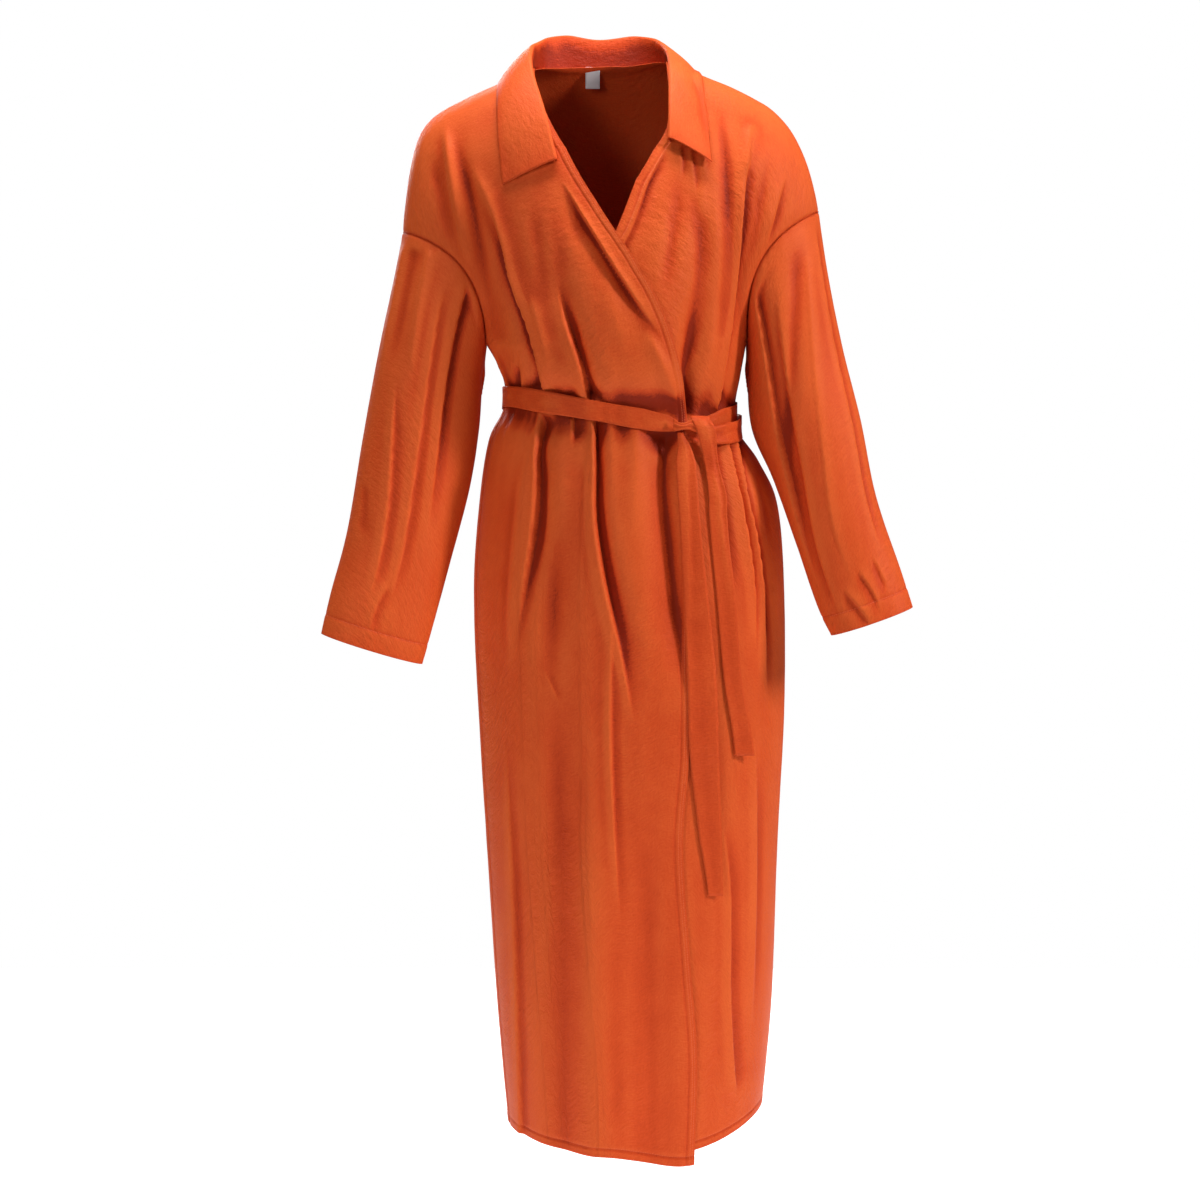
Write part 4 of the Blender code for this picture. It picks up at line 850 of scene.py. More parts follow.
# %% Creases on the back
BACK_CREASES = [
    Crease([(-11, -12), (-9.4, -20), (-8.2, -28), (-6.2, -38.8)], 1.4, 1.5, 3, -7.5, 0.5, 0.03, -0.3),
    Crease([(-2.8, -20), (-2.2, -30), (-1.4, -39)], 1.5, 1.4, -6.5, 2.5, 0.5, 0.03, -0.3),
    Crease([(5.8, -15), (4.6, -28), (4.4, -39)], 1.4, 1.5, 2.5, -7.5, 0.5, 0.03, -0.3),
    Crease([(14.4, -15), (12.4, -28), (10.6, -39.2)], 1.5, 1.4, -7, 3, 0.5, 0.03, -0.3),
    Crease([(1.2, -26), (1.4, -33), (1.2, -39)], 0.7, 0.7, -3.5, -3.5, 0.5, 0.05),
    Crease([(9.2, -24), (8.4, -32), (7.6, -39)], 0.7, 0.9, 2.5, -4, 0.5, 0.05),
    Crease([(-15.8, -8), (-14.6, -18), (-12.4, -31)], 0.8, 1, 4, 4, 0.3, 0.3),
    Crease([(18.4, -8), (17.4, -19), (15.2, -32)], 0.9, 0.8, 4, 4, 0.3, 0.3),
    Crease([(-6.4, -8), (-5.8, -16), (-5, -26)], 1.6, 1.4, -2.2, -2.2, 0.4, 0.5),
    Crease([(7, -9), (7.6, -17), (8, -25)], 1.4, 1.6, -2.2, -2.2, 0.4, 0.5),
    Crease([(-8.4, -40.8), (-9.4, -54), (-10.2, -74), (-10.6, -96)], 1.1, 2, 2.5, -8, 0.02, 0.6, 0.9),
    Crease([(-3, -40.8), (-3.6, -55), (-3.8, -76)], 1.5, 1.2, -6.5, 2.5, 0.02, 0.6, 0.9),
    Crease([(2.2, -40.8), (1.6, -66), (1.8, -112)], 1.2, 2, 2.5, -8.5, 0.02, 0.6, 0.9),
    Crease([(8, -41), (9.2, -58), (10.2, -82)], 1.8, 1.2, -7, 2.5, 0.02, 0.6, 0.9),
    Crease([(13.2, -41.6), (15, -62), (16.4, -104)], 1.2, 2, 2.5, -7.5, 0.02, 0.6, 0.9),
    Crease([(5.2, -40.8), (5.4, -48), (5, -58)], 0.6, 0.8, 1.5, -4, 0.02, 0.6, 0.8),
    Crease([(-5, -86), (-5.4, -108), (-5.6, -130)], 2.8, 3, 4, 4, 0.6, 0.01),
    Crease([(7.4, -90), (8, -111), (8.4, -130)], 3, 2.8, 4, 4, 0.6, 0.01),
    Crease([(0.6, -100), (0.8, -115), (1.2, -130)], 2.2, 2.4, -2.5, -2.5, 0.5, 0.01),
]
print(len(BACK_CREASES), "creases on the back")

# %% [markdown]
# ## Gathers, seams and hems
#
# The belt pushes the cloth into small pleats. A seam draws it in, and a turned hem is thick up to
# its stitching. A hem could be a second layer of cloth. On a piece this large it is a millimetre
# of height near an edge, so all three are written as heights that are added to a sheet.

# %% Heights for gathers, seams and hems
BELT_TOP, BELT_LOW = -39.4, -43.0
GATHERS_ABOVE, GATHERS_BELOW = 2.6, 3.6  # centimetres in which they die away
GATHER_TURNS = 5.2, 2.4  # degrees from one to the next, of the large ones and the small ones
GATHER_HEIGHT = 1.3 * MM
SEAM_WIDTH, SEAM_DEPTH = 2.4 * MM, 0.9 * MM
TURNED_EDGE = 10 * MM
TURNED_END = 0.8 * MM  # the turned cloth's height falls off over so much
TURNED_RISE, STITCH_GROOVE, GROOVE_WIDTH = 0.35 * MM, 0.7 * MM, 1.3 * MM


def belt_gathers(theta, z):
    """Short uneven pleats above and below the belt, in metres."""
    turn, level = np.degrees(theta), np.full_like(z, 0.5)
    wave = uneven(turn / GATHER_TURNS[0], level, 11) + 0.5 * uneven(turn / GATHER_TURNS[1], level, 12)
    above = np.exp(-np.clip(z - BELT_TOP, 0, None) / GATHERS_ABOVE)
    below = np.exp(-np.clip(BELT_LOW - z, 0, None) / GATHERS_BELOW)
    return wave * GATHER_HEIGHT * np.minimum(above, below)


def seam_dip(metres):
    """A seam draws the cloth in along its line."""
    return -SEAM_DEPTH * np.exp(-((metres / SEAM_WIDTH) ** 2))


def hem_form(metres, depth=TURNED_EDGE):
    """A turned hem: thick up to its stitching, which pulls a groove."""
    thick = TURNED_RISE * smooth((depth - metres) / TURNED_END + 0.5)
    return thick - STITCH_GROOVE * np.exp(-(((metres - depth) / GROOVE_WIDTH) ** 2))


print("gathers, seams and hems ready")

# %% The folded surface of the body
ARMHOLE_CALM = 2.2  # centimetres from the armhole, where folds begin
SIDE_CALM = 1.8  # how soon they begin away from the sides
FRONT_AND_BACK = [(-1, FRONT_CREASES), (1, BACK_CREASES)]


def body_sheet(theta, section, lift=0.0, own_creases=()):
    """Points of the body with its folds. Theta and section are rows by columns."""
    section = np.broadcast_to(section, theta.shape)
    base, normal = body_point(theta, section), body_normal(theta, section)
    facing = -np.cos(theta)
    across, up = base[..., 0] / CM, base[..., 2] / CM
    turned = smooth(np.abs(facing) * SIDE_CALM)
    height = np.zeros_like(across)
    for sign, creases in FRONT_AND_BACK + [(-1, own_creases)]:
        here = (facing * sign) > 0
        if here.any():
            height += sum(crease_height(across, up, crease) for crease in creases) * turned * here
    height += wrinkles(across, up, seed=3.0) + belt_gathers(theta, up)
    arm = np.clip(sizes(YOKE, "arm", np.minimum(section, ARMPIT)), 0, 1)
    gap = np.linalg.norm(base / CM - armhole_point(theta, arm), axis=-1)
    calm = np.where(section >= ARMPIT + 1, 1.0, smooth(gap / ARMHOLE_CALM))
    return base + normal * (height * calm + lift)[..., None], normal


print("folds fade out", ARMHOLE_CALM, "cm from the armholes")

# %% [markdown]
# ## The fronts
#
# The over front is the large panel with the wrap edge across it. It laps over the under front by
# some 16 cm at the belt, and rises from its side seam to lie on it. One sheet with a line drawn on
# it would have no edge that stands up and throws a shadow, so the fronts are two sheets. Each has
# its edge turned in and stitched, and its columns of points stand closer together there.

# %% Cut the fronts
FRONT_COLUMNS = 148
LAP_LIFT = 3.2 * MM
LIFT_FROM, LIFT_OVER = -62, 26  # degrees round the body
HEM_DIP, HEM_DIP_FROM, HEM_DIP_TO = 1.7, 0.0, 11.5  # the over front's lower corner hangs down
DIP_FROM = HEM - 0.8  # the section where that starts
EVEN = np.linspace(0, 1, FRONT_COLUMNS)
CROWDED_FIRST = EVEN**1.25
CROWDED_LAST = 1 - (1 - EVEN**0.86) ** 1.25


def over_lift(theta, section):
    """The over front rises from its side seam to lie on the under front."""
    turn = np.degrees(theta)
    return LAP_LIFT * smooth((turn - LIFT_FROM) / LIFT_OVER) * smooth((section - 2) / 2)


def edge_distance(points, column):
    """Metres along each row from its first column or its last."""
    walked = travelled(points, 1)
    return walked if column == 0 else walked[:, -1:] - walked


def finish_edges(points, normals, seams, hems=()):
    """Seams dip, turned edges thicken and show the line of their stitching."""
    height = sum(seam_dip(edge_distance(points, column)) for column in seams)
    height = height + sum(hem_form(edge_distance(points, column)) for column in hems)
    height = height + seam_dip(WALKED[:, None]) + hem_form((WALKED[-1] - WALKED)[:, None])
    return points + normals * height[..., None]


def over_front():
    """The large front, from its side seam to the wrap edge."""
    seam, edge = side_seam(-1, SECTIONS)[:, None], edge_angle(OVER_EDGE, SECTIONS)[:, None]
    theta, section = mix(seam, edge, CROWDED_LAST), SECTIONS[:, None]
    points, normals = body_sheet(theta, section, over_lift(theta, section), OVER_CREASES)
    points = finish_edges(points, normals, seams=[0], hems=[-1])
    dip = HEM_DIP * smooth((points[..., 0] / CM - HEM_DIP_FROM) / (HEM_DIP_TO - HEM_DIP_FROM))
    points[..., 2] -= dip * CM * smooth((section - DIP_FROM) / (HEM - DIP_FROM))
    return sheet("front_over", points)


def under_front():
    """The front that runs on under the other one."""
    seam, edge = side_seam(1, SECTIONS)[:, None], edge_angle(UNDER_EDGE, SECTIONS)[:, None]
    theta = mix(edge, seam, CROWDED_FIRST)
    # It lies under the over front, so it also follows what folds there.
    points, normals = body_sheet(theta, SECTIONS[:, None], own_creases=UNDER_CREASES + OVER_CREASES)
    points = finish_edges(points, normals, seams=[-1], hems=[0])
    return sheet("front_under", points)


front_over = over_front()
front_under = under_front()

# %% [markdown]
# ## The back
#
# The back is one panel. Its top is hollowed out for the neck, where the collar is sewn on. A cut
# through the mesh would leave ragged squares there, so the middle columns start lower down instead.

# %% Cut the back
NECK_BACK_SECTION = 2.1
NECK_ROUNDNESS = 0.6
BACK_COLUMNS = 148


def back_panel():
    """The back, from side seam to side seam."""
    right, left = side_seam(1, SECTIONS), 2 * math.pi + side_seam(-1, SECTIONS)
    theta = mix(right[:, None], left[:, None], np.linspace(0, 1, BACK_COLUMNS))
    neck_left, neck_right = (edge_angle(edge, np.zeros(1))[0] for edge in (OVER_EDGE, UNDER_EDGE))
    mirrored = math.pi - theta
    neck = np.where(mirrored > 0, neck_right, neck_left)
    start = NECK_BACK_SECTION * np.clip(1 - (mirrored / neck) ** 2, 0, 1) ** NECK_ROUNDNESS
    section = np.broadcast_to(SECTIONS[:, None], theta.shape)
    section = np.where(section < ARMPIT, start + section * (1 - start / ARMPIT), section)
    points, normals = body_sheet(theta, section)
    points = finish_edges(points, normals, seams=[0, -1])
    return sheet("back", points)


back = back_panel()

# %% [markdown]
# ## The sleeves
#
# A sleeve is a tube from its dropped seam to its open cuff. Its creases are drawn on it unrolled:
# centimetres round it from its outer side by way of the front, and centimetres down it from the
# seam, which are negative. A simulation could fold it too, but not into the folds of a picture.
# The fullness of its head is eased into the seam in small gathers.

# %% Creases on the sleeves
SLEEVE_CREASES = {
    -1: [
        Crease([(7, -0.6), (7.4, -5), (7.8, -10), (8.2, -17)], 0.5, 0.7, 3.4, 3.4, 0.05, 0.5),
        Crease([(4.6, -1), (5, -8), (5.4, -17)], 1.2, 1.1, -4, -4, 0.1, 0.5),
        Crease([(2.4, -1), (3, -9), (3.4, -20)], 0.9, 0.9, 2.6, 2.6, 0.1, 0.5),
        Crease([(13.6, -0.5), (13.6, -8), (13.2, -18), (12.4, -30)], 1.2, 2.6, 2.5, -8, 0.05, 0.5),
        Crease([(10.4, -2), (10.9, -14), (10.2, -28), (9, -42)], 1, 1.1, 2.2, -2.6, 0.2, 0.3),
        Crease([(6.2, -16), (7.4, -29), (6.8, -43)], 1.1, 1.3, 1.8, -2.6, 0.3, 0.3),
        Crease([(3.4, -30), (4.4, -37)], 0.8, 0.9, -1.8, -1.8),
        Crease([(9, -38), (7.8, -42), (7.4, -45.5)], 0.6, 0.7, 1.2, -1.8),
        Crease([(24, -2), (25, -12), (24, -24)], 1.4, 1.4, -5, 2.5, 0.1, 0.5),
        Crease([(29, -2), (29, -14), (26, -30)], 1.2, 1.4, 3, -3, 0.1, 0.5),
        Crease([(33, -3), (32, -12), (29, -26)], 1.4, 1.2, -3, -3, 0.2, 0.4),
    ],
    1: [
        Crease([(6.4, -1.5), (8.6, -8), (11.4, -14), (15, -21)], 1.6, 1.5, -5, -5, 0.2, 0.3),
        Crease([(5, -1.5), (7.2, -10), (8.8, -20), (9.2, -30), (8, -41)], 1.5, 1.7, 3.6, 1.6, 0.15, 0.3),
        Crease([(15.6, -1), (15, -9), (14.6, -20), (12.6, -34)], 2.4, 1.4, -8, 1.5, 0.05, 0.4),
        Crease([(2.6, -1), (3.6, -14), (3.8, -30), (3.2, -43)], 0.9, 1, -2.4, 1.8, 0.1, 0.3),
        Crease([(11.4, -3), (12.4, -14), (12, -28), (10.4, -41)], 1, 1.2, 2.2, -2.8, 0.2, 0.3),
        Crease([(9.6, -38), (8.2, -42), (7, -45.5)], 0.5, 0.6, 1.4, -2.4),
        Crease([(7.4, -39), (6.2, -43), (5.6, -46)], 0.5, 0.6, 1.4, -2.2),
        Crease([(5, -40.5), (4.2, -45)], 0.5, 0.5, 1, -2),
        Crease([(10.8, -43), (9.4, -46)], 0.5, 0.5, 1, -1.8),
        Crease([(24, -2), (25, -12), (24, -24)], 1.4, 1.4, -5, 2.5, 0.1, 0.5),
        Crease([(30, -2), (30, -14), (26, -30)], 1.2, 1.4, 3, -3, 0.1, 0.5),
        Crease([(33.5, -3), (32, -12), (29, -26)], 1.4, 1.2, -3, -3, 0.2, 0.4),
    ],
}

# %% Roll the sleeves
SLEEVE_AROUND = 176
SLEEVE_ROWS = 150
CUFF_HEM = 24 * MM
EASING = 1.1 * MM  # height of the gathers at a sleeve's seam
SETTLED = 2.0 * CM  # creases have their full height this far from the seam
SLEEVE_CALM = 0.62  # the sleeves' creases and wrinkles are shallower than the body's
SLEEVE_WRINKLES = 0.55
GATHER_WIDTH, GATHERS_FROM, GATHERS_OVER = 0.75 * CM, 0.3 * CM, 1.3 * CM


def sleeve(node, side):
    """A tube from the armhole to the cuff."""
    turn = np.linspace(0, 2 * math.pi, SLEEVE_AROUND, endpoint=False)
    angle = np.where(turn <= math.pi, turn, 2 * math.pi - turn)
    facing = np.where(turn <= math.pi, -1, 1)
    place, angle = np.meshgrid(np.linspace(0, 1, SLEEVE_ROWS), angle, indexing="ij")
    points = sleeve_point(side, place, angle, np.broadcast_to(facing, place.shape))
    normals = grid_normals(points, closed=True) * -side
    down, round_it = travelled(points), travelled(points, 1)
    height = SLEEVE_WRINKLES * wrinkles(round_it / CM, -down / CM, seed=20.0 + side)
    for crease in SLEEVE_CREASES[side]:
        height += SLEEVE_CALM * crease_height(round_it / CM, -down / CM, crease)
    height *= smooth(down / SETTLED)
    gathers = uneven(round_it / GATHER_WIDTH, np.full_like(down, 0.5), 41.0 + side)
    height += EASING * gathers * smooth(down / GATHERS_FROM) * np.exp(-down / GATHERS_OVER)
    height += seam_dip(down) + hem_form(down[-1:] - down, CUFF_HEM)
    points = points + normals * height[..., None]
    if side > 0:
        points = points[:, ::-1]
    return sheet(node, points, closed=True)


sleeve_right = sleeve("sleeve_right", -1)
sleeve_left = sleeve("sleeve_left", 1)

# %% [markdown]
# ## The collar
#
# The collar is sewn to the neck edge, stands up from it, rolls over and lies down on the fronts
# and the back. It is worked out as a row of profiles round the neck. Each leaf's edge is kept a
# few millimetres over the cloth below it.

# %% Sizes of the collar
Station = namedtuple("Station", "name sewn roll leaf")
COLLAR = [
    Station("left end", (8.3, -9.4, -8.5), (8.0, -10.3, -8.2), (13.3, -9.7, -10.9)),
    Station("left neck edge", (8.5, -7.6, -5.0), (8.1, -8.4, -4.4), (12.9, -7.4, -6.6)),
    Station("left collarbone", (8.4, -4.6, -1.1), (8.1, -4.7, 0.2), (12.4, -5.0, -2.6)),
    Station("left shoulder", (8.1, -0.8, 1.4), (8.0, -0.6, 3.3), (11.8, -0.6, 0.6)),
    Station("left nape", (7.2, 3.0, 2.2), (6.9, 3.2, 5.1), (10.2, 4.6, 0.4)),
    Station("left back", (4.2, 4.9, 2.2), (4.4, 5.7, 6.0), (5.6, 7.3, 0.0)),
    Station("centre back", (0.2, 5.2, 2.0), (0.2, 6.1, 5.6), (0.3, 7.6, -0.4)),
    Station("right back", (-3.8, 4.9, 2.2), (-4.4, 5.7, 6.1), (-5.8, 7.3, 0.0)),
    Station("right nape", (-7.0, 3.0, 2.2), (-7.3, 3.2, 5.1), (-10.6, 4.6, 0.2)),
    Station("right shoulder", (-8.0, -0.8, 1.4), (-8.3, -0.6, 3.4), (-12.2, -0.6, -0.2)),
    Station("right collarbone", (-8.0, -4.6, -1.1), (-7.9, -5.0, 0.0), (-12.4, -5.0, -3.0)),
    Station("right neck edge", (-6.7, -8.0, -5.3), (-6.4, -8.8, -5.1), (-12.2, -7.9, -7.8)),
    Station("right end", (-5.2, -10.2, -11.0), (-5.0, -11.0, -10.9), (-11.6, -9.4, -13.6)),
]
COLLAR_COLUMNS = 190
STAND_ROWS, ROLL_ROWS, LEAF_ROWS = 8, 9, 22
COLLAR_GAP = 0.09  # in centimetres, as are the radius, the bulge and the heights
ROLL_RADIUS = 0.36
ROLL_LEAN = 0.6  # how far its middle lies towards the leaf, in radii
LEAF_BULGE = 0.3
ROLL_HEIGHT, LEAF_HEIGHT = 0.45, 0.34  # of the leaf over the cloth, at its roll and at its edge
COLLAR_CLOTH = 1.1 * MM  # two layers
STAND_SHADE = 0.75  # painted shade on the stand's inner face, deep inside the neck
SHADE_ROWS, SHADE_FADE = 2, 12
NEIGHBOURS, EVENINGS = 3, 3  # columns that give the neck's direction, times that they are evened
print(len(COLLAR), "stations round the neck")

# %% Lay one piece on another
PANELS = ["front_over", "front_under", "back"]


def surface_tree(nodes):
    """A search tree of some sheets, for laying another piece on them."""
    points, faces = [], []
    for node in nodes:
        grid, closed = SHEETS[node]
        faces += (squares(*grid.shape[:2], closed) + len(points)).tolist()
        points += grid.reshape(-1, 3).tolist()
    return BVHTree.FromPolygons(points, faces)


def kept_off(tree, point, least, fit=False):
    """The point, moved out to at least this height over the cloth, or to just that height."""
    place, normal, _, _ = tree.find_nearest(point)
    if fit:
        return place + normal * least
    height = (point - place).dot(normal)
    return point + normal * max(0.0, least - height)


print("the collar lies on:", ", ".join(PANELS))


# %% Turn the collar
def square_to(vector, *directions):
    """What is left of a vector without its share along each direction."""
    for direction in directions:
        vector = vector - direction * vector.dot(direction)
    return vector


def collar_profile(sewn, roll, leaf, path, panels):
    """Across the collar: up the stand, round an arc, and straight off it to the leaf's edge."""
    roll = sewn + square_to(roll - sewn, path)
    up = (roll - sewn).normalized()
    aside = square_to(leaf - sewn, path, up).normalized()
    centre = roll - up * ROLL_RADIUS + aside * ROLL_RADIUS * ROLL_LEAN
    across, above = (leaf - centre).dot(aside), (leaf - centre).dot(up)
    end = math.atan2(above, across) + math.acos(ROLL_RADIUS / math.hypot(across, above))
    turns = np.linspace(math.pi, end, ROLL_ROWS)
    arc = [centre + (aside * math.cos(turn) + up * math.sin(turn)) * ROLL_RADIUS for turn in turns]
    away = (arc[-1] - centre).normalized()
    stand = [sewn.lerp(arc[0], share) for share in np.linspace(0, 1, STAND_ROWS + 1)[:-1]] + arc
    points = [kept_off(panels, point * CM, COLLAR_GAP * CM) for point in stand]
    for share in np.linspace(0, 1, LEAF_ROWS + 1)[1:]:
        point = arc[-1].lerp(leaf, share) + away * LEAF_BULGE * 4 * share * (1 - share)
        least = mix(ROLL_HEIGHT, LEAF_HEIGHT, share) * CM
        points.append(kept_off(panels, point * CM, least))
    return points


def collar():
    """The profiles, side by side round the neck and evened out along it."""
    panels = surface_tree(PANELS)
    places = np.linspace(0, len(COLLAR) - 1, COLLAR_COLUMNS)
    lines = {field: sizes(COLLAR, field, places) for field in Station._fields[1:]}
    sewn = [kept_off(panels, Vector(p) * CM, COLLAR_GAP * CM, fit=True) for p in lines["sewn"]]
    columns = []
    for i in range(COLLAR_COLUMNS):
        path = sewn[min(i + NEIGHBOURS, COLLAR_COLUMNS - 1)] - sewn[max(i - NEIGHBOURS, 0)]
        roll, leaf = Vector(lines["roll"][i]), Vector(lines["leaf"][i])
        columns.append(collar_profile(sewn[i] / CM, roll, leaf, path.normalized(), panels))
    points = np.array(columns).transpose(1, 0, 2)
    for _ in range(EVENINGS):
        points[:, 1:-1] = (points[:, :-2] + 2 * points[:, 1:-1] + points[:, 2:]) / 4
    # Painted shade on the stand's first rows, fading out towards the roll.
    painted_shade = STAND_SHADE * (1 - smooth((np.arange(len(points)) - SHADE_ROWS) / SHADE_FADE))
    return sheet("collar", points, thickness=COLLAR_CLOTH, painted_shade=painted_shade[:, None])


collar_piece = collar()

# %% [markdown]
# ## The ties
#
# The shorter tie goes from the wearer's right round the back, the longer one all the way round and
# across the front, and both meet in a knot at the wearer's left. A band lies on what is under it,
# so its distance from the waist's axis is found by looking inwards from outside, and then smoothed.

# %% Sizes of the ties
TIE_AXIS_X = 2.4
Band = namedtuple("Band", "degrees z width")
TIES = {
    "tie_short": [
        Band(48, -42, 1.8), Band(62, -41.3, 2.4), Band(90, -40.6, 2.6), Band(135, -40, 2.6),
        Band(180, -39.5, 2.6), Band(225, -39.1, 2.6), Band(262, -38.9, 2.6),
    ],
    "tie_long": [
        Band(48, -43.3, 1.9), Band(62, -43, 2.5), Band(90, -42.2, 2.6), Band(135, -41.4, 2.6),
        Band(180, -40.7, 2.6), Band(225, -39.8, 2.6), Band(270, -38.8, 2.6), Band(288, -38.6, 2.5),
        Band(311, -39.1, 2.7), Band(347, -40.35, 2.4), Band(374, -41.3, 2.5), Band(388, -41.8, 2),
        Band(394.5, -42.1, 1.2),
    ],
}
TIE_TURN = 1.2  # degrees between columns
TIE_ROWS = 9
TIE_GAP = 0.6 * MM
TIE_CLOTH = 0.9 * MM
TIE_FOLLOWS = 0.25  # how far a tie follows the folds across its width
TIE_SETTLE = 4  # columns to each side, over which its hollows are filled
TIE_CRUMPLE, CRUMPLE_TURN, CRUMPLE_ACROSS = 0.5 * MM, 9, 2.2
CRUMPLE_SEED = {"tie_short": 46, "tie_long": 45}
print("ties:", ", ".join(TIES))


# %% Lay the ties round the waist
def outwards(degrees):
    """The direction away from the waist's axis, 0 in front and 90 at the right."""
    angle = math.radians(degrees)
    return Vector((math.sin(angle), -math.cos(angle), 0))


def settled(values, reach):
    """Never below the values: their running maximum, then its running mean."""
    values = np.asarray(values, float)
    padded = np.pad(values, reach, mode="edge")
    windows = np.lib.stride_tricks.sliding_window_view(padded, 2 * reach + 1)
    highest = np.pad(windows.max(-1), reach, mode="edge")
    return np.lib.stride_tricks.sliding_window_view(highest, 2 * reach + 1).mean(-1)


def waist_radius(tree, degrees, z):
    """From the waist's axis out to the cloth, in metres."""
    axis = Vector((TIE_AXIS_X * CM, 0, z * CM))
    hit = tree.ray_cast(axis + outwards(degrees) * 0.5, -outwards(degrees))[0]
    return (hit - axis).dot(outwards(degrees))


def band(node, under):
    """A tie, laid round the waist on what is under it."""
    tree, bands = surface_tree(under), TIES[node]
    turns = np.arange(bands[0].degrees, bands[-1].degrees, TIE_TURN)
    place = np.interp(turns, [b.degrees for b in bands], np.arange(len(bands)))
    centre, width = sizes(bands, "z", place), sizes(bands, "width", place)
    shares = np.linspace(0.5, -0.5, TIE_ROWS)
    radii = []
    for share in shares:
        found = [waist_radius(tree, t, z + w * share) for t, z, w in zip(turns, centre, width)]
        radii.append(settled(found, TIE_SETTLE))
    radii = np.array(radii)
    level = radii.max(0)
    radii = level + (radii - level) * TIE_FOLLOWS + TIE_GAP + TIE_CLOTH
    crumple = uneven(turns / CRUMPLE_TURN, shares[:, None] * CRUMPLE_ACROSS, CRUMPLE_SEED[node])
    radii = radii + np.abs(crumple * TIE_CRUMPLE)
    angle = np.radians(turns)
    x = TIE_AXIS_X * CM + np.sin(angle) * radii
    z = (centre + width * shares[:, None]) * CM
    return sheet(node, stacked(x, -np.cos(angle) * radii, z), thickness=TIE_CLOTH)


tie_short = band("tie_short", PANELS)
tie_long = band("tie_long", PANELS + ["tie_short"])

# %% [markdown]
# ## The knot
#
# One tie loops over the other and pinches it. Two strips that pass through each other would be hard
# to lay without a clash. What shows is the pinched one, so the knot is made as a flat tube with
# pleats along it, narrowest where the loop holds it.

# %% Tie the knot
Throat = namedtuple("Throat", "x y z height depth")
KNOT = [
    Throat(8.7, -11.25, -42.0, 0.70, 0.16),
    Throat(9.4, -11.30, -42.15, 0.46, 0.26),
    Throat(10.1, -11.20, -42.10, 0.40, 0.36),
    Throat(10.8, -10.85, -41.95, 0.62, 0.50),
    Throat(11.6, -10.30, -41.95, 0.95, 0.70),
    Throat(12.3, -9.70, -42.05, 1.05, 0.60),
]
KNOT_PLEATS, PLEAT_DEPTH, PLEAT_TWIST = 7, 0.15, 2.2
KNOT_ROWS, KNOT_COLUMNS = 60, 72


def knot():
    """The long tie, pinched into pleats where the short one loops over it."""
    place = np.linspace(0, len(KNOT) - 1, KNOT_ROWS)[:, None]
    turn = np.linspace(0, 2 * math.pi, KNOT_COLUMNS, endpoint=False)[None, :]
    share = place / (len(KNOT) - 1)
    pleat = 1 + PLEAT_DEPTH * np.sin(turn * KNOT_PLEATS + PLEAT_TWIST * share) * (1 - 0.5 * share)
    x = sizes(KNOT, "x", place) + 0 * turn
    y = sizes(KNOT, "y", place) - sizes(KNOT, "depth", place) * np.cos(turn) * pleat
    z = sizes(KNOT, "z", place) + sizes(KNOT, "height", place) * np.sin(turn) * pleat
    return sheet("knot", stacked(x, y, z) * CM, closed=True)


knot_piece = knot()

# %% [markdown]
# ## The ties' free ends
#
# Both ends hang from the knot over the skirt. They are flat strips, cut straight across. Each is
# laid on what is under it by looking back at that from in front, point by point.

# %% Hang the tails
Ribbon = namedtuple("Ribbon", "z left right")
TAILS = {
    "tail_long": [
        Ribbon(-42.9, 9.2, 9.9), Ribbon(-44.6, 9.2, 10.8), Ribbon(-46.4, 9, 11.4),
        Ribbon(-53.3, 9.4, 11.9), Ribbon(-62.8, 9.9, 12.9), Ribbon(-72.4, 10.4, 13.9),
        Ribbon(-81.1, 10.7, 14.2), Ribbon(-90.8, 11.8, 14.6), Ribbon(-98.4, 13, 14.8),
    ],
    "tail_short": [
        Ribbon(-40.9, 10.7, 13), Ribbon(-42.6, 11.5, 13.8), Ribbon(-46.4, 12.4, 14.1),
        Ribbon(-50.4, 12.9, 15.1), Ribbon(-53.3, 13, 15.2), Ribbon(-62.8, 13.9, 16.2),
        Ribbon(-72.4, 14.8, 17), Ribbon(-81.6, 16.2, 18.6),
    ],
}
TAIL_STEP = 0.4  # centimetres between its rows
TAIL_COLUMNS = 11
TAIL_GAP = 0.5 * MM
TAIL_FOLLOWS = 0.3  # how far a tail follows the folds across its width
TAIL_SETTLE = 5
ROLLED = {"tail_long": 0.0, "tail_short": 5 * MM}  # how far the top turns back over the knot
LOOP = 1.1 * CM  # and over how much of its length
FOLDED, FREE_AFTER = 0.35 * MM, 8 * CM  # how far its edges stand up, once it hangs free


def tail(node, under):
    """A free end, laid on what it hangs over."""
    tree, ribbons = surface_tree(under), TAILS[node]
    z = np.arange(ribbons[0].z, ribbons[-1].z - TAIL_STEP / 2, -TAIL_STEP)
    place = np.interp(-z, [-r.z for r in ribbons], np.arange(len(ribbons)))
    left, right = sizes(ribbons, "left", place), sizes(ribbons, "right", place)
    shares = np.linspace(0, 1, TAIL_COLUMNS)
    x = left[:, None] + (right - left)[:, None] * shares
    depths = []
    for column in x.T:
        starts = [Vector((px * CM, -0.5, pz * CM)) for px, pz in zip(column, z)]
        found = [-tree.ray_cast(start, Vector((0, 1, 0)))[0].y for start in starts]
        depths.append(settled(found, TAIL_SETTLE))
    depths = np.array(depths).T
    level = depths.max(1)[:, None]
    depths = level + (depths - level) * TAIL_FOLLOWS + TAIL_GAP + TIE_CLOTH
    fallen = (z[0] - z)[:, None] * CM
    depths = depths - ROLLED[node] * (1 - smooth(fallen / LOOP)) ** 2
    depths = depths + FOLDED * np.cos(shares * math.pi * 2) * smooth(fallen / FREE_AFTER)
    points = stacked(x * CM, -depths, np.broadcast_to(z[:, None] * CM, x.shape))
    return sheet(node, points, thickness=TIE_CLOTH)


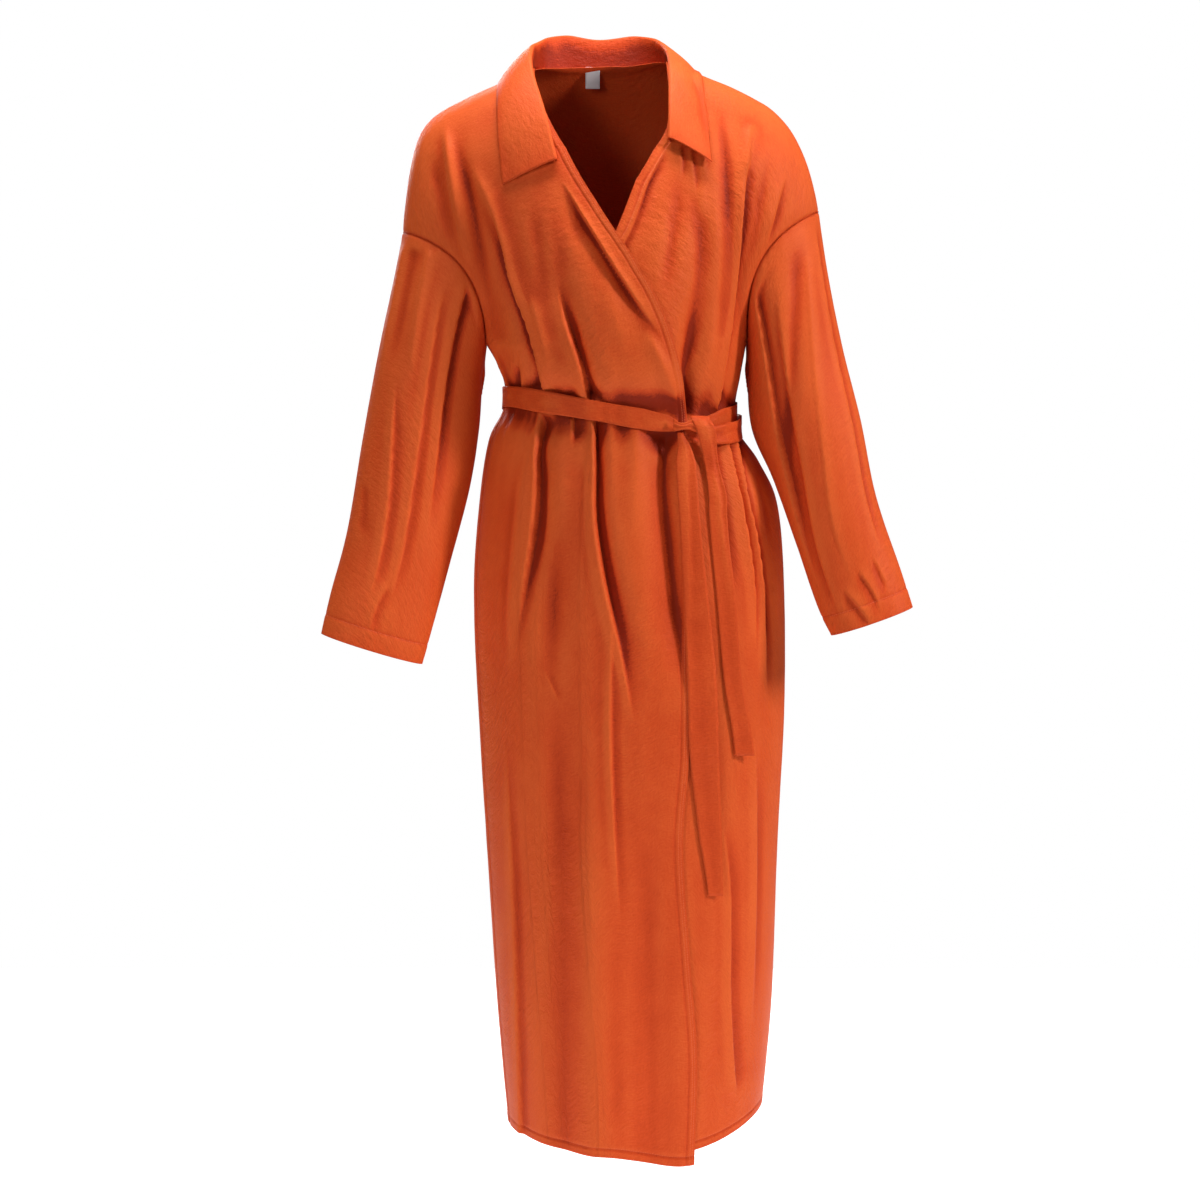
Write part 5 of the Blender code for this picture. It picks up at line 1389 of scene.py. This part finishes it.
under_tails = ["front_over", "front_under", "tie_short", "tie_long", "knot"]
tail_long = tail("tail_long", under_tails)
tail_short = tail("tail_short", under_tails + ["tail_long"])

# %% [markdown]
# ## Rows of stitches
#
# Hems, cuffs and wrap edges are sewn down in straight rows. Each stitch is a tiny bar, narrower at
# its top, that lies on the cloth. A sheet's stitches are joined in one mesh, which is how a
# thousand small like things are best made.

# %% Find the line of a row of stitches
def inset(points, normals, side, distance):
    """Points and normals along a line this far in from one side of a sheet."""
    turned = {"bottom": (0, True), "left": (1, False), "right": (1, True)}[side]
    grids = [np.moveaxis(g, turned[0], 0) for g in (points, normals)]
    if turned[1]:
        grids = [g[::-1] for g in grids]
    far = travelled(grids[0])
    index = np.clip((far < distance).sum(0), 1, len(far) - 1)
    lane = np.arange(far.shape[1])
    before, after = far[index - 1, lane], far[index, lane]
    share = np.clip((distance - before) / np.maximum(after - before, 1e-9), 0, 1)[:, None]
    return [mix(g[index - 1, lane], g[index, lane], share) for g in grids]


back_points, _ = SHEETS["back"]
fold_line, _ = inset(back_points, grid_normals(back_points), "bottom", HEM_DEPTH)
print("the back hem is stitched over", round(float(travelled(fold_line)[-1]), 2), "m")

# %% Make a bar for each stitch
STITCH_STEP = 3.0 * MM
STITCH = Vector((1.15, 0.26, 0.17)) * MM  # half its length and width, and its height
STITCH_LEVELS = (-0.3, 1.0), (1.0, 0.62)  # its foot, sunk in the cloth, and its smaller top


def read_along(values, far, at):
    """Points or normals at some distances along their line."""
    return np.stack([np.interp(at, far, values[:, k]) for k in range(3)], axis=-1)


def stitch_bars(line, normals):
    """Corners of a bar for each stitch along a line, each with its own eight corners."""
    far = travelled(line)
    at = np.arange(STITCH_STEP, far[-1] - STITCH_STEP, STITCH_STEP)
    spot, up = read_along(line, far, at), unit(read_along(normals, far, at))
    along = unit(read_along(line, far, at + 0.5 * MM) - spot)
    across = np.cross(up, along)
    corners = []
    for rise, shrink in STITCH_LEVELS:
        for a, b in ((-1, -1), (1, -1), (1, 1), (-1, 1)):
            flat = along * STITCH.x * a * shrink + across * STITCH.y * b * shrink
            corners.append(spot + flat + up * STITCH.z * rise)
    return np.stack(corners, axis=1)


# The foot of a bar lies in the cloth and needs no face.
BAR_FACES = np.array([(4, 5, 6, 7), (0, 1, 5, 4), (1, 2, 6, 5), (2, 3, 7, 6), (3, 0, 4, 7)])
print("a stitch is", round(2 * STITCH.x / MM, 2), "mm long and has", len(BAR_FACES), "faces")

# %% Sew the hems and edges
stitch_thread, _, _ = finish_of("stitch_thread", Base_Color=(0.70, 0.105, 0.024, 1), Roughness=0.55)


def sew(name, node, *rows):
    """One mesh of stitches, for rows given by a side of the sheet and a distance from it."""
    points, closed = SHEETS[node]
    normals = grid_normals(points, closed)
    bars = np.concatenate([stitch_bars(*inset(points, normals, *row)) for row in rows])
    faces = (np.arange(len(bars)) * 8)[:, None, None] + BAR_FACES
    obj = piece_of(f"{name}_stitches", bars, faces, stitch_thread)
    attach(obj, "root")
    print(f"{obj.name}: {len(bars)} stitches")


hem_row = ("bottom", HEM_DEPTH)
sew("front_over", "front_over", hem_row, ("right", 3 * MM), ("right", 6 * MM))
sew("front_under", "front_under", hem_row, ("left", 12 * MM))
sew("back", "back", hem_row)
for side_name in ("right", "left"):
    sew(f"cuff_{side_name}", f"sleeve_{side_name}", ("bottom", CUFF_HEM))

# %% [markdown]
# ## The neck label
#
# A bare satin tape hangs inside the back of the neck. It is a small flat sheet with a finish of
# its own, smoother than the cloth.

# %% Sew in the label
label_satin, _, _ = finish_of(
    "label_satin", Base_Color=(0.72, 0.70, 0.72, 1), Roughness=0.35, Sheen_Weight=0.2
)
UNDER_COLLAR = 8 * MM  # its top is hidden in the collar's seam
LABEL_HANG = 5 * MM  # and it ends so much lower than its solid
LABEL_CLOTH = 0.5 * MM


def neck_label():
    """A tape from under the collar down, half way through its solid."""
    low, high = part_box("neck_label")
    z = np.linspace(high.z - UNDER_COLLAR, low.z - LABEL_HANG, 24)
    x, z = np.meshgrid(np.linspace(low.x, high.x, 12), z)
    share = np.clip((high.z - z) / (high.z - low.z), 0, 1)
    y = mix(low.y, high.y, 0.35 + 0.3 * share)
    return sheet("neck_label", stacked(x, y, z), thickness=LABEL_CLOTH, stuff="satin",
                 finish=label_satin)


label_piece = neck_label()

# %% [markdown]
# ## The studio
#
# The dress hangs over a white floor, in soft light from large lamps. A harder lamp at the right
# draws the folds, and one behind keeps the back from going dark. The white of the sky is seen by
# the camera alone, so that it doesn't wash out the folds.

# %% Floor and lights
FLOOR_Z = -1.47
FLOOR_WIDTH = 3.4
PAPER_GLOW = 1.0  # the floor is lit by lamps of its own, which this stands for


def studio_floor():
    """A square of white paper under the dress."""
    paper, _, _ = finish_of(
        "pale_paper",
        Base_Color=(0.6, 0.6, 0.6, 1),
        Roughness=0.9,
        Emission_Color=(1, 1, 1, 1),
        Emission_Strength=PAPER_GLOW,
    )
    corners = np.array([(-1, -1), (1, -1), (1, 1), (-1, 1)]) * FLOOR_WIDTH / 2
    points = stacked(corners[:, 0], corners[:, 1], FLOOR_Z)
    piece_of("studio_floor", points, [(0, 1, 2, 3)], paper)


def studio_sky(glow, seen):
    """A world that gives off a little light, and looks white to the camera."""
    world = bpy.data.worlds.new("studio_world")
    world.use_nodes = True
    nodes, links = world.node_tree.nodes, world.node_tree.links
    lamp = nodes["Background"]
    ground = nodes.new("ShaderNodeBackground")
    for node, strength in ((lamp, glow), (ground, seen)):
        node.inputs["Color"].default_value = (1, 1, 1, 1)
        node.inputs["Strength"].default_value = strength
    either = nodes.new("ShaderNodeMixShader")
    links.new(nodes.new("ShaderNodeLightPath").outputs["Is Camera Ray"], either.inputs[0])
    links.new(lamp.outputs[0], either.inputs[1])
    links.new(ground.outputs[0], either.inputs[2])
    links.new(either.outputs[0], nodes["World Output"].inputs["Surface"])
    bpy.context.scene.world = world


def softbox(name, place, aim, size, watts):
    """A large lamp, whose size is its width and height in metres."""
    data = bpy.data.lights.new(name, "AREA")
    data.shape, data.energy = "RECTANGLE", watts
    data.size, data.size_y = size
    aimed(name, data, place, aim)


studio_floor()
studio_sky(glow=0.10, seen=1.0)
softbox("key_light", (2.8, -1.25, 1.1), (0, 0, -0.5), (0.45, 0.6), 80)
softbox("left_light", (-1.7, -2.8, 0.6), (0, 0, -0.6), (0.7, 1.2), 21)
softbox("top_light", (0.0, -0.2, 1.3), (0, 0, 0), (1.2, 0.4), 38)
softbox("back_light", (-1.2, 2.6, 0.9), (0, 0, -0.6), (1.2, 1.4), 55)
bpy.context.scene.view_settings.view_transform = "Standard"
print("studio ready")
